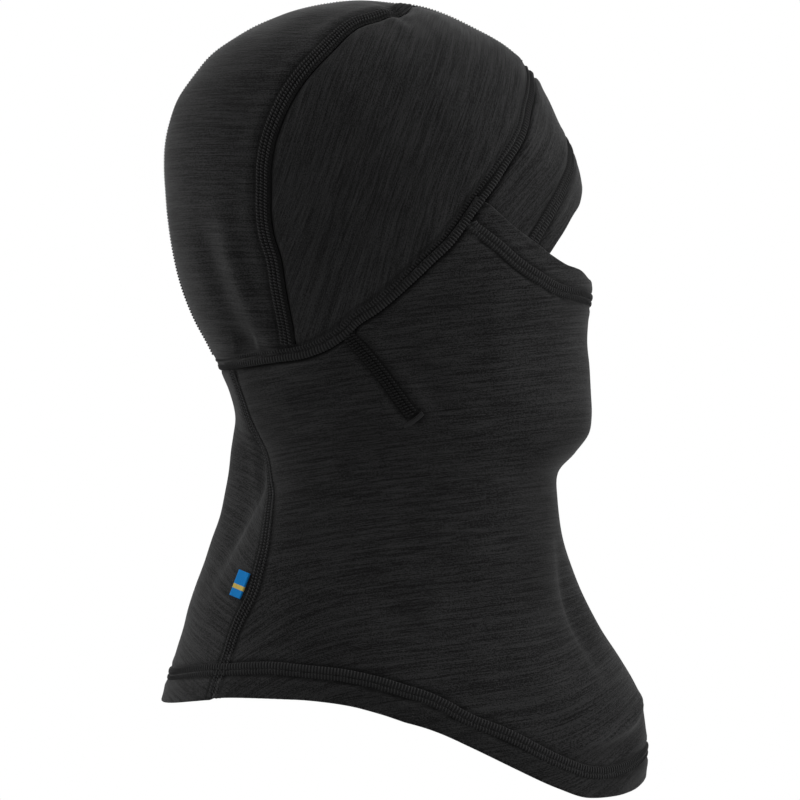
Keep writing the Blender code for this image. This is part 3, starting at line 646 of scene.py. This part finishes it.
def colour_mix(tree, factor, a, b, blend="MIX"):
    """Colour mix; its factor and two colours are sockets or plain values."""
    n = tree.nodes.new("ShaderNodeMix")
    n.data_type = "RGBA"
    n.blend_type = blend
    for slot, value in (("Factor", factor), ("A", a), ("B", b)):
        if isinstance(value, (float, tuple)):
            n.inputs[slot].default_value = value
        else:
            link(tree, value, n.inputs[slot])
    return n.outputs["Result"]


def emboss(tree, bsdf, height, strength, depth_m):
    n = node(tree, "ShaderNodeBump", Strength=strength, Distance=depth_m)
    link(tree, height, n.inputs["Height"])
    link(tree, n.outputs["Normal"], bsdf.inputs["Normal"])


def stretched_noise(tree, vector, scale, detail, rough):
    mapping = node(tree, "ShaderNodeMapping", Scale=scale)
    link(tree, vector, mapping.inputs["Vector"])
    noise = node(tree, "ShaderNodeTexNoise", Scale=1.0, Detail=detail, Roughness=rough)
    link(tree, mapping.outputs[0], noise.inputs["Vector"])
    return noise.outputs["Fac"]


def start_material(name, rough, sheen, sheen_rough):
    mat = bpy.data.materials.new(name)
    mat.use_nodes = True
    bsdf = mat.node_tree.nodes["Principled BSDF"]
    bsdf.inputs["Roughness"].default_value = rough
    bsdf.inputs["Sheen Weight"].default_value = sheen
    bsdf.inputs["Sheen Roughness"].default_value = sheen_rough
    bsdf.inputs["Sheen Tint"].default_value = (1, 1, 1, 1)
    bsdf.inputs["Specular IOR Level"].default_value = 0.18
    return mat, mat.node_tree, bsdf


def knit(name, dark, light):
    """Marled jersey: long soft streaks of lighter and darker yarn, tiny light fibres, fine loops, and the
    painted shade and light of its folds, hollows, seams and hems.
    """
    mat, tree, bsdf = start_material(name, 0.92, 0.10, 0.45)
    vec = attribute(tree, "grain", "Vector")

    def noise(along, across_it, detail, rough):
        return stretched_noise(tree, vec, (along, across_it, 0.37), detail, rough)

    long_streak, thin_streak = noise(0.020, 0.62, 5.0, 0.66), noise(0.06, 2.2, 3.0, 0.65)
    cloud, fibre = noise(0.014, 0.03, 2.0, 0.5), noise(1.5, 2.1, 2.0, 0.7)
    yarn = add(tree, times(tree, long_streak, 0.72), times(tree, thin_streak, 1.05))
    yarn = math_node(tree, "SUBTRACT", yarn, 0.385)
    yarn = add(tree, yarn, above(tree, cloud, 0.5, 0.12))
    yarn = add(tree, yarn, above(tree, fibre, 0.5, 1.5))
    ramp = tree.nodes.new("ShaderNodeValToRGB")
    for stop, position, colour in zip(ramp.color_ramp.elements, (0.34, 0.68), (dark, light)):
        stop.position = position
        stop.color = (*colour, 1)
    link(tree, yarn, ramp.inputs[0])
    speck = above(tree, noise(0.9, 1.7, 1.0, 0.4), 0.745, 9.0, clamp=True)
    flecked = colour_mix(tree, speck, ramp.outputs[0], (*(2.6 * c for c in light), 1))
    # the shade attribute multiplies in the painted shade and light of folds, hollows, seams and hems
    shaded = colour_mix(tree, 1.0, flecked, attribute(tree, "shade", "Fac"), "MULTIPLY")
    link(tree, shaded, bsdf.inputs["Base Color"])
    loops, ridges = noise(0.8, 1.5, 2.0, 0.65), noise(0.10, 1.3, 3.0, 0.6)
    emboss(tree, bsdf, add(tree, times(tree, loops, 0.5), times(tree, ridges, 0.5)), 0.8, 0.00045)
    return mat


def thread(name, tone, low):
    """Matte sewing thread with the fine twist of its plies; the shade attribute paints shade between the
    stitches and in the needle holes.
    """
    mat, tree, bsdf = start_material(name, 0.80, 0.06, 0.4)
    twist = stretched_noise(tree, attribute(tree, "grain", "Vector"), (2.4, 5.0, 1.0), 2.0, 0.6)
    fac = times(tree, add(tree, twist, 0.5), attribute(tree, "shade", "Fac"), clamp=True)
    link(tree, colour_mix(tree, fac, (*low, 1), (*tone, 1)), bsdf.inputs["Base Color"])
    emboss(tree, bsdf, twist, 0.4, 0.0002)
    return mat


def woven(name):
    """Smooth woven ribbon: blue ground with one plain yellow stripe, fine ribs of the weave."""
    mat, tree, bsdf = start_material(name, 0.75, 0.02, 0.4)
    parts = tree.nodes.new("ShaderNodeSeparateXYZ")
    link(tree, attribute(tree, "grain", "Vector"), parts.inputs[0])
    off = math_node(tree, "ABSOLUTE", math_node(tree, "SUBTRACT", parts.outputs["X"], STRIPE_AT))
    stripe = times(tree, math_node(tree, "SUBTRACT", STRIPE_HALF, off), 6.0, clamp=True)
    ground = colour_mix(tree, stripe, (0.002, 0.25, 0.70, 1), (0.80, 0.60, 0.14, 1))
    ribs = [math_node(tree, "SINE", times(tree, parts.outputs[way], often))
            for way, often in (("X", 14.0), ("Y", 17.0))]
    weave = times(tree, *ribs)
    tone = add(tree, times(tree, weave, 0.15), 0.95)
    link(tree, colour_mix(tree, 1.0, ground, tone, "MULTIPLY"), bsdf.inputs["Base Color"])
    emboss(tree, bsdf, weave, 0.4, 0.0001)
    return mat


CROWN = knit("crown_knit", (0.0028, 0.0028, 0.0029), (0.0310, 0.0310, 0.0317))
MASK = knit("mask_knit", (0.0026, 0.0026, 0.0027), (0.0310, 0.0310, 0.0316))
NAPE = knit("nape_knit", (0.0040, 0.0040, 0.0041), (0.0360, 0.0360, 0.0367))
THREAD = thread("flatlock_thread", (0.031, 0.031, 0.0316), (0.0020, 0.0020, 0.0021))
# The dart's thread gets a darker tone: painted shade of the groove it lies in
SHADED_DART_THREAD = thread("dart_thread_painted_shade", (0.0105, 0.0105, 0.0108), (0.002, 0.002, 0.002))
TAB_CLOTH = woven("woven_tab")


# ---------------------------------------------------------------- panels

def cut(line, start, end):
    """Part of a named line from the point nearest (v, t) start to the one nearest end."""
    q = curve(line)
    p = on_plane(q)
    i, j = (int(np.argmin(np.linalg.norm(p - on_plane(to_plane([a]))[0], axis=1)))
            for a in (start, end))
    part = q[i:j + 1] if i <= j else q[j:i + 1][::-1]
    step = max(1, len(part) // 60)
    keep = np.vstack([part[:-1:step], part[-1:]])
    t = np.arctan2(keep[:, 1], keep[:, 0]) / np.pi
    t = np.where(t < -0.5, t + 2, t)
    return [tuple(a) for a in np.stack([np.hypot(keep[:, 0], keep[:, 1]), t], -1)]


MEET = (16.45, 0.308)       # where the rear seam reaches the base seam
MASK_END = (10.42, 0.648)   # where the mask's edge leaves the base seam
LAP_END = (12.45, 0.577)    # where the forehead panel's hidden edge leaves it
NECK_TOP = (16.77, 0.126)   # where the neck seam leaves it
NECK_FOOT = (31.9, 0.230)   # where the neck seam reaches the bottom edge

grids = {
    "crown_side": patch(CREST_FRONT, REAR, None, cut(BASE, (4.88, 1.0), MEET),
                        (("seam", "seam"), ("plain", "seam")), "plane"),
    "crown_back": patch(CREST_BACK, REAR, None, cut(BASE, (16.8, 0.0), MEET),
                        (("seam", "seam"), ("plain", "seam")), "plane"),
    "forehead": both_sides(patch([(4.88, 1.0), (7.2, 1.0), (9.58, 1.0)], UNDERLAP,
                                 cut(BASE, (4.88, 1.0), LAP_END), BROW_EDGE,
                                 (("plain", "edge"), ("seam", "hem")))),
    "mask": both_sides(patch([(13.54, 1.0), (18, 1.0), (24, 1.0), (31.62, 1.0)], NECK,
                             MASK_EDGE[:-1] + cut(BASE, MASK_END, NECK_TOP),
                             BOTTOM[:4:-1] + [(31.83, 0.255), NECK_FOOT],
                             (("plain", "seam"), ("seam", "hem")))),
    "nape": both_sides(patch([(16.8, 0.0), (20, 0.0), (26, 0.0), (32.05, 0.0)], NECK,
                             cut(BASE, (16.8, 0.0), NECK_TOP), [(32.05, 0.0), (32.0, 0.12), NECK_FOOT],
                             (("plain", "seam"), ("seam", "hem")))),
}


# Knit material of each kind of panel, and a slot name that the script doesn't use
CLOTHS = {"crown_side": (CROWN, "crown_knit"), "crown_back": (CROWN, "crown_knit"),
          "forehead": (CROWN, "crown_knit"), "mask": (MASK, "mask_knit"), "nape": (NAPE, "mask_knit")}


def sewn_panel(cad_node, piece, kind, sign=1, rims=()):
    """Panel in its cloth, built in place of its CAD node, which is hidden; sign picks the side."""
    ob = panel(piece, kind, grids[kind] * (1, sign), rims)
    material, slot = CLOTHS[kind]
    ob.data.materials.append(material)
    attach(ob, "hood")
    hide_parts(cad_node)


for side, sign in (("left", 1), ("right", -1)):
    for label in ("crown_side", "crown_back"):
        sewn_panel(f"{label}_{side}", f"{label}_{side}_knit", label, sign)
sewn_panel("forehead_panel", "forehead_knit", "forehead", rims=(1, 2, 3))
sewn_panel("face_neck_panel", "face_neck_knit", "mask", rims=(0, 2))
sewn_panel("back_neck_panel", "back_neck_knit", "nape", rims=(2,))


# ---------------------------------------------------------------- seams

class Seam:
    """A stitched line on the cloth: places offset across it and above it, at distances along it."""

    def __init__(self, q, closed=False, sunk=0.55):
        self.q, self.run, self.closed, self.sunk = q, run_along(on_plane(q)), closed, sunk
        self.length = self.run[-1]

    def across(self, along):
        """Chart points at distances along the line, and the chart step of one millimetre across."""
        q = chart_at(self.q, self.run, along)
        ahead = chart_at(self.q, self.run, np.minimum(along + SEAM_STEP, self.length))
        behind = chart_at(self.q, self.run, np.maximum(along - SEAM_STEP, 0))
        _, dx, dy, n = slopes(q)
        tangent = on_plane(ahead) - on_plane(behind)
        tangent /= np.linalg.norm(tangent, axis=-1)[..., None]
        across = np.cross(n, tangent)
        across /= np.linalg.norm(across, axis=-1)[..., None]
        xx, xy, yy = (dx * dx).sum(-1), (dx * dy).sum(-1), (dy * dy).sum(-1)
        bx, by = (across * dx).sum(-1), (across * dy).sum(-1)
        det = np.maximum(xx * yy - xy * xy, 1e-9)
        return q, np.stack([(bx * yy - by * xy) / det, (by * xx - bx * xy) / det], -1)

    def place(self, along, offset, height, kinds):
        """Points at (along, offset across), raised by height, and their normals; arrays of one
        shape. The cloth's own seam grooves are left out, so that the seam stays even across."""
        shape = along.shape
        q, step = self.across(along.ravel())
        p, _, _, n = slopes(q + step * offset.ravel()[:, None])
        lift = np.empty(len(p))
        first = offset.ravel() >= 0
        for chosen, kind in zip((first, ~first), kinds):
            if chosen.any():
                lift[chosen] = soft_relief(left_half(p[chosen]), kind)[0]
        raised = p + n * (lift - self.sunk + height.ravel())[:, None]
        return raised.reshape(*shape, 3), n.reshape(*shape, 3)


def tubes(paths, normals, radius, sides):
    """Short threads: paths is (count, points, 3). Returns vertices, faces, and each vertex's share."""
    count, points, _ = paths.shape
    tangent = np.gradient(paths, axis=1)
    tangent /= np.maximum(np.linalg.norm(tangent, axis=-1), 1e-9)[..., None]
    side = np.cross(tangent, normals)
    side /= np.maximum(np.linalg.norm(side, axis=-1), 1e-9)[..., None]
    up = np.cross(side, tangent)
    angles = 2 * np.pi * np.arange(sides) / sides + np.pi / 2
    ring = (side[:, :, None] * np.cos(angles)[None, None, :, None]
            + up[:, :, None] * np.sin(angles)[None, None, :, None] * THREAD_FLATNESS) * radius
    verts = paths[:, :, None] + ring
    index = np.arange(count * points * sides).reshape(count, points, sides)
    a, b = index[:, :-1], index[:, 1:]
    quads = np.stack([a, np.roll(a, -1, axis=2), np.roll(b, -1, axis=2), b], -1).reshape(-1, 4)
    caps = np.concatenate([index[:, 0, ::-1], index[:, -1]])
    along = np.broadcast_to(np.linspace(0, 3, points)[None, :, None], (count, points, sides)).ravel()
    round_it = np.broadcast_to(np.arange(sides)[None, None, :] * 0.5, (count, points, sides)).ravel()
    which = np.broadcast_to(np.arange(count)[:, None, None] * 1.7, (count, points, sides)).ravel()
    return (verts.reshape(-1, 3), quads.tolist() + caps.tolist(), np.stack([along, round_it, which], -1))


class Build:
    """Collects the meshes of one seam."""

    def __init__(self):
        self.verts, self.faces, self.grain, self.shade, self.count = [], [], [], [], 0

    def add(self, verts, faces, grain, shade):
        self.verts.append(verts)
        self.faces += [[i + self.count for i in f] for f in faces]
        self.grain.append(grain)
        self.shade.append(np.broadcast_to(shade, (len(verts),)))
        self.count += len(verts)

    def object(self, name, material):
        ob = new_object(name, np.vstack(self.verts), self.faces,
                        (("grain", np.vstack(self.grain)), ("shade", np.concatenate(self.shade))))
        ob.data.materials.append(material)
        return ob


def strip(build, seam, profile, kinds, start, end, pits, tone):
    """Closed band along a seam from (offset, height) pairs; pits are rows of needle holes, and tone is the
    painted shade of the band between the threads.
    """
    per = 4
    count = max(2, int(round((end - start) / PITCH)) * per)
    along = np.linspace(start, end, count + 1)
    offs = np.array([a for a, _ in profile], float)
    highs = np.array([h for _, h in profile], float)
    grid_a, grid_o = np.meshgrid(along, offs, indexing="ij")
    grid_h = np.broadcast_to(highs, grid_a.shape).copy()
    phase = (grid_a - start) / PITCH
    # dark: painted shade in the needle holes and along their rows
    dark = np.ones(grid_a.shape)
    for at, depth, width in pits:
        hole = np.exp(-((grid_o - at) / width) ** 2) * (0.5 - 0.5 * np.cos(2 * np.pi * phase))
        grid_h -= depth * hole
        dark *= 1 - 0.92 * hole
        dark *= 1 - 0.6 * np.exp(-((grid_o - at) / width) ** 2)
    fade = np.minimum(eased((grid_a - start) / 1.5), eased((end - grid_a) / 1.5))
    if not seam.closed:
        grid_h = grid_h * fade - 0.8 * (1 - fade)
    top, n = seam.place(grid_a, grid_o, grid_h, kinds)
    low = top - n * 0.5
    rows, cols = grid_a.shape
    index = np.arange(rows * cols).reshape(rows, cols)
    quads = np.stack([index[:-1, :-1], index[1:, :-1], index[1:, 1:], index[:-1, 1:]], -1).reshape(-1, 4)
    flat = top.reshape(-1, 3)
    e1, e2 = flat[quads[:, 1]] - flat[quads[:, 0]], flat[quads[:, 3]] - flat[quads[:, 0]]
    out = (np.cross(e1, e2) * n.reshape(-1, 3)[quads[:, 0]]).sum() > 0
    if not out:
        quads = quads[:, ::-1]
    loop = np.concatenate([index[0, :-1], index[:-1, -1], index[-1, :0:-1], index[:0:-1, 0]])
    size = rows * cols
    wall = np.stack([loop, np.roll(loop, -1), np.roll(loop, -1) + size, loop + size], -1)
    faces = quads.tolist() + (quads[:, ::-1] + size).tolist() + wall.tolist()
    grain = np.stack([grid_a, grid_o, 0 * grid_a], -1).reshape(-1, 3)
    # painted shade: the band takes tone and its holes' shade, its underside 0.3 of that
    build.add(np.vstack([flat, low.reshape(-1, 3)]), faces, np.vstack([grain, grain]),
              np.concatenate([dark.ravel(), dark.ravel() * 0.3]) * tone)


def stitches(build, seam, kinds, start, end, marks, pitch=PITCH, points=5, sides=5, radius=0.3,
             shade=1.0, shift=0.0):
    """One thread per pitch through marks, each (share of the pitch, offset, height)."""
    count = max(1, int((end - start) / pitch))
    s0 = start + (np.arange(count) + shift) * pitch
    marks = np.array(marks, float)
    f = np.linspace(0, len(marks) - 1, points)
    way = np.stack([np.interp(f, np.arange(len(marks)), marks[:, k]) for k in range(3)], -1)
    along = s0[:, None] + way[None, :, 0] * pitch
    along = np.clip(along, 0, seam.length)
    offset = np.broadcast_to(way[None, :, 1], along.shape)
    height = np.broadcast_to(way[None, :, 2], along.shape)
    p, n = seam.place(along, offset, height, kinds)
    verts, faces, grain = tubes(p, n, radius, sides)
    build.add(verts, faces, grain, shade)


# Bands as (offset across, height)
LADDER = [(4.0, -0.5), (3.7, 0.10), (3.1, 0.12), (2.4, 0.40), (1.2, 0.46), (0.3, 0.30), (-0.6, 0.50),
          (-1.8, 0.62), (-2.9, 0.66), (-3.5, 0.62), (-3.85, 0.35), (-4.0, -0.3), (-4.05, -1.0)]
PLAIN_BAND = [(4.0, -0.9), (3.85, 0.2), (3.3, 0.55), (2.1, 0.60), (1.0, 0.55), (0.0, 0.60),
              (-1.0, 0.55), (-2.1, 0.60), (-3.3, 0.55), (-3.85, 0.2), (-4.0, -0.9)]
HEM_BAND = [(3.7, -0.6), (3.5, 0.0), (3.0, 0.24), (2.2, 0.38), (1.2, 0.40), (0.3, 0.30), (-0.5, 0.46),
            (-1.6, 0.56), (-2.6, 0.56), (-3.1, 0.40), (-3.5, 0.15), (-3.7, -0.6)]


def chain_thread(offset, shift):
    """One slanting thread of the plain band's three rows."""
    return ([(0.2, offset - 0.65, 0.40), (0.35, offset - 0.3, 1.0), (0.5, offset + 0.3, 1.0),
             (0.65, offset + 0.65, 0.40)], {"radius": 0.38, "shift": shift})


# Band, rows of needle holes as (offset, depth, width), tone (the band's painted shade between the threads),
# and the threads that cross the band
STYLES = {
    "ladder": (LADDER, ((3.1, 0.8, 0.65), (0.1, 1.0, 0.65)), 0.35, (
        ([(0.5, -0.7, 0.15), (0.5, -1.15, 0.80), (0.5, -2.6, 0.95), (0.5, -3.5, 0.85),
          (0.5, -3.95, 0.1)], {"radius": 0.40, "sides": 6, "points": 6}),
        ([(0.5, 0.85, 0.15), (0.47, 1.2, 0.74), (0.4, 2.1, 0.74), (0.37, 2.5, 0.1)],
         {"radius": 0.36, "shade": 0.9}))),
    "hem": (HEM_BAND, ((3.0, 0.5, 0.6), (0.3, 0.6, 0.55), (-3.0, 0.4, 0.5)), 0.42, (
        ([(0.5, -0.2, 0.20), (0.5, -0.8, 0.68), (0.5, -2.0, 0.80), (0.5, -2.8, 0.62),
          (0.5, -3.2, 0.0)], {"radius": 0.40, "sides": 6, "points": 6}),
        ([(0.45, 0.6, 0.25), (0.4, 1.2, 0.56), (0.35, 2.2, 0.56), (0.3, 2.8, 0.1)],
         {"radius": 0.34, "shade": 0.8}))),
    "chain": (PLAIN_BAND, ((3.3, 0.8, 0.6), (1.0, 0.9, 0.6), (-1.25, 0.9, 0.6), (-3.4, 0.8, 0.6)), 0.25,
              (chain_thread(2.1, 0.0), chain_thread(-0.2, 0.4), chain_thread(-2.3, 0.1))),
}


def flatlock(name, q, kinds, style="ladder", trim=(0, 0), closed=False, flip=1, material=THREAD,
             sunk=0.55):
    """Seam band with its threads; trim shortens its two ends, flip swaps its two sides."""
    seam = Seam(q, closed, sunk)
    start, end = trim[0], seam.length - trim[1]
    build = Build()
    band, pits, tone, threads = STYLES[style]
    strip(build, seam, [(a * flip, h) for a, h in band], kinds, start, end,
          [(at * flip, deep, wide) for at, deep, wide in pits], tone)
    for marks, look in threads:
        stitches(build, seam, kinds, start, end, [(f, a * flip, h) for f, a, h in marks], **look)
    return build.object(name, material)


def across(line_vt):
    """Chart line that starts on the middle of the head, joined to its mirror image."""
    half = sample(line_vt, step=1.0)
    return np.vstack([(half * (1, -1))[:0:-1], half])


def ring(line_vt):
    """Chart line that ends on the middle at both ends, closed round the head by its mirror image."""
    half = sample(line_vt, step=1.0)
    return np.vstack([half, (half * (1, -1))[-2::-1]])


def mirror(q, sign):
    return q * (1, sign)


seams = {}
seams["crown_base_seam"] = flatlock("crown_base_flatlock", ring(BASE), ("crown_side", "forehead+mask"),
                                    closed=True, sunk=0.75)
seams["crown_centre_back_seam"] = flatlock("crown_back_flatlock", sample(CREST_BACK, step=1.0),
                                           ("crown_back", "crown_back"), "ladder", (1.4, 4.2), sunk=0.35)
seams["crown_centre_top_seam"] = flatlock("crown_top_flatlock", sample(CREST_FRONT, step=1.0),
                                          ("crown_side", "crown_side"), "ladder", (1.4, 4.2), sunk=0.35)
for side, sign in (("left", 1), ("right", -1)):
    seams[f"crown_rear_seam_{side}"] = flatlock(
        f"rear_flatlock_{side}", mirror(sample(REAR, step=1.0), sign), ("crown_back", "crown_back"),
        "chain", (0.2, 3.9))
    seams[f"neck_seam_{side}"] = flatlock(
        f"neck_flatlock_{side}", mirror(sample(NECK, step=1.0), sign), ("nape", "nape"), "chain", (4.0, 1.2))
    seams[f"dart_seam_{side}"] = flatlock(
        f"dart_flatlock_{side}", mirror(sample(DART, step=0.8), sign), ("mask", "mask"), "chain", (1.0, 0.4),
        material=SHADED_DART_THREAD)
    tack = Seam(mirror(sample(TACK, step=0.6), sign))
    build = Build()
    stitches(build, tack, ("mask", "mask"), 0.2, tack.length - 0.2,
             [(0.0, -1.1, 0.0), (0.1, -0.6, 1.1), (0.3, 0.6, 1.1), (0.4, 1.1, 0.0)],
             pitch=0.55, radius=0.30, points=6, shade=0.9)
    seams[f"dart_tack_{side}"] = build.object(f"dart_bartack_{side}", THREAD)
seams["brow_hem_stitch"] = flatlock("brow_hem_rows", across(BROW_STITCH), ("forehead", "forehead"), "hem",
                                    (0.3, 0.6), sunk=0.1)
seams["mask_hem_stitch"] = flatlock("mask_hem_rows", across(MASK_STITCH), ("mask", "mask"), "hem",
                                    (0.3, 0.6), flip=-1, sunk=0.1)
seams["bottom_hem_stitch"] = flatlock("bottom_hem_rows", ring(BOTTOM_STITCH), ("mask", "mask"), "hem",
                                      closed=True, sunk=0.1)

for node_name, ob in seams.items():
    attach(ob, "hood")
    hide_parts(node_name)


# ---------------------------------------------------------------- side tab

def side_tab():
    """Folded woven ribbon: two layers joined by a round fold, sewn edge in the neck seam."""
    verts = np.array([tuple(v.co) for v in frame["nodes"]["side_tab"].data.vertices]) / MM
    joint = [j for j in frame["joints"] if j["name"] == "side_tab_fold"][0]
    axis = np.array(joint["axis"], float)
    axis /= np.linalg.norm(axis)
    pivot = np.array(joint["pos_m"], float) / MM
    rel = verts - pivot
    along = rel @ axis
    flat = rel - along[:, None] * axis
    far = flat[np.argmax(np.linalg.norm(flat, axis=1))]
    away = far / np.linalg.norm(far)
    up = np.cross(axis, away)
    if up @ (pivot - np.array([0, 0, pivot[2]])) < 0:
        up = -up
    reach, half = np.linalg.norm(far), (along.max() - along.min()) / 2
    path = []
    for s in np.linspace(0, 1, 9):
        path.append((0.3 + s * (reach - 0.75), 0.38 - 0.10 * math.sin(math.pi * s)))
    for a in np.linspace(75, -75, 6):
        path.append((reach - 0.45 + 0.42 * math.cos(math.radians(a)), 0.40 * math.sin(math.radians(a))))
    for s in np.linspace(1, 0, 9):
        path.append((0.3 + s * (reach - 0.75), -0.38 + 0.06 * math.sin(math.pi * s)))
    path = np.array(path)
    normal = np.gradient(path, axis=0)
    normal = np.stack([normal[:, 1], -normal[:, 0]], -1)
    normal /= np.linalg.norm(normal, axis=1)[:, None]
    thick = 0.16
    across_n = 33
    widths = np.linspace(-half, half, across_n)
    layers = []
    for offset in (thick, -thick):
        line = path + normal * -offset
        layers.append(pivot + axis * widths[None, :, None] + away * line[:, 0][:, None, None]
                      + up * line[:, 1][:, None, None])
    rows = len(path)
    index = np.arange(rows * across_n).reshape(rows, across_n)
    quads = np.stack([index[:-1, :-1], index[:-1, 1:], index[1:, 1:], index[1:, :-1]], -1).reshape(-1, 4)
    size = rows * across_n
    loop = np.concatenate([index[0, :-1], index[:-1, -1], index[-1, :0:-1], index[:0:-1, 0]])
    wall = np.stack([loop, loop + size, np.roll(loop, -1) + size, np.roll(loop, -1)], -1)
    faces = quads.tolist() + (quads[:, ::-1] + size).tolist() + wall.tolist()
    run = run_along(path)
    grain = np.stack(np.broadcast_arrays(widths[None, :], run[:, None], 0.0), -1).reshape(-1, 3)
    ob = new_object("woven_side_tab", np.vstack([a.reshape(-1, 3) for a in layers]), faces,
                    (("grain", np.vstack([grain, grain])),))
    bm = bmesh.new()
    bm.from_mesh(ob.data)
    bmesh.ops.recalc_face_normals(bm, faces=bm.faces)
    bm.to_mesh(ob.data)
    bm.free()
    ob.data.materials.append(TAB_CLOTH)
    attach(ob, "tab")
    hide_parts("side_tab")
    return ob


side_tab()


# ---------------------------------------------------------------- stage, lights, camera

def floor():
    me = bpy.data.meshes.new("floor")
    reach_m, low_m, sides = 2.8, -0.75, 96
    ring = [(reach_m * math.cos(2 * math.pi * i / sides), reach_m * math.sin(2 * math.pi * i / sides), low_m)
            for i in range(sides)]
    me.from_pydata(ring, [], [tuple(range(sides))])
    ob = bpy.data.objects.new("floor", me)
    bpy.context.scene.collection.objects.link(ob)
    mat = bpy.data.materials.new("floor_paper")
    mat.use_nodes = True
    bsdf = mat.node_tree.nodes["Principled BSDF"]
    bsdf.inputs["Base Color"].default_value = (0.82, 0.82, 0.82, 1)
    bsdf.inputs["Roughness"].default_value = 0.9
    # the paper brightens away from the object until it meets the white backdrop
    tree = mat.node_tree
    place = tree.nodes.new("ShaderNodeTexCoord")
    length = tree.nodes.new("ShaderNodeVectorMath")
    length.operation = "LENGTH"
    link(tree, place.outputs["Object"], length.inputs[0])
    far = tree.nodes.new("ShaderNodeMapRange")
    far.interpolation_type = "SMOOTHSTEP"
    far.inputs["From Min"].default_value = 0.9
    far.inputs["From Max"].default_value = 2.3
    link(tree, length.outputs["Value"], far.inputs["Value"])
    glow = tree.nodes.new("ShaderNodeEmission")
    blend = tree.nodes.new("ShaderNodeMixShader")
    link(tree, far.outputs["Result"], blend.inputs[0])
    link(tree, bsdf.outputs[0], blend.inputs[1])
    link(tree, glow.outputs[0], blend.inputs[2])
    link(tree, blend.outputs[0], tree.nodes["Material Output"].inputs["Surface"])
    me.materials.append(mat)
    ob.visible_diffuse = False


def softbox(name, place, target, size, power):
    data = bpy.data.lights.new(name, "AREA")
    data.shape = "RECTANGLE"
    data.size, data.size_y = size
    data.energy = power
    ob = bpy.data.objects.new(name, data)
    ob.location = place
    ob.rotation_euler = (Vector(target) - Vector(place)).to_track_quat("-Z", "Y").to_euler()
    bpy.context.scene.collection.objects.link(ob)


def backdrop():
    world = bpy.data.worlds.new("studio")
    bpy.context.scene.world = world
    world.use_nodes = True
    tree = world.node_tree
    tree.nodes.clear()
    out = tree.nodes.new("ShaderNodeOutputWorld")
    seen = tree.nodes.new("ShaderNodeBackground")
    seen.inputs["Color"].default_value = (1, 1, 1, 1)
    seen.inputs["Strength"].default_value = 1.0
    fill = tree.nodes.new("ShaderNodeBackground")
    fill.inputs["Color"].default_value = (1, 1, 1, 1)
    fill.inputs["Strength"].default_value = 0.36
    path = tree.nodes.new("ShaderNodeLightPath")
    mix = tree.nodes.new("ShaderNodeMixShader")
    link(tree, path.outputs["Is Camera Ray"], mix.inputs[0])
    link(tree, fill.outputs[0], mix.inputs[1])
    link(tree, seen.outputs[0], mix.inputs[2])
    link(tree, mix.outputs[0], out.inputs[0])


CENTRE_M = (0.0, -0.015, -0.11)
floor()
backdrop()
softbox("front_box", (-0.25, -1.55, 0.65), CENTRE_M, (1.0, 1.6), 20)
softbox("back_box", (0.25, 1.55, 0.6), CENTRE_M, (1.0, 1.6), 18)
softbox("far_box", (1.5, -0.1, 0.5), CENTRE_M, (1.6, 1.2), 10)
softbox("top_box", (-0.1, -0.1, 1.5), CENTRE_M, (1.2, 1.2), 2)

cam_data = bpy.data.cameras.new("camera")
cam_data.sensor_width = 36.0
cam_data.lens = 162.2
cam = bpy.data.objects.new("camera", cam_data)
cam.location = (-1.9, -0.0148, -0.1107)
cam.rotation_euler = (math.pi / 2, 0, -math.pi / 2)
bpy.context.scene.collection.objects.link(cam)
bpy.context.scene.camera = cam
bpy.context.scene.view_settings.view_transform = "Standard"
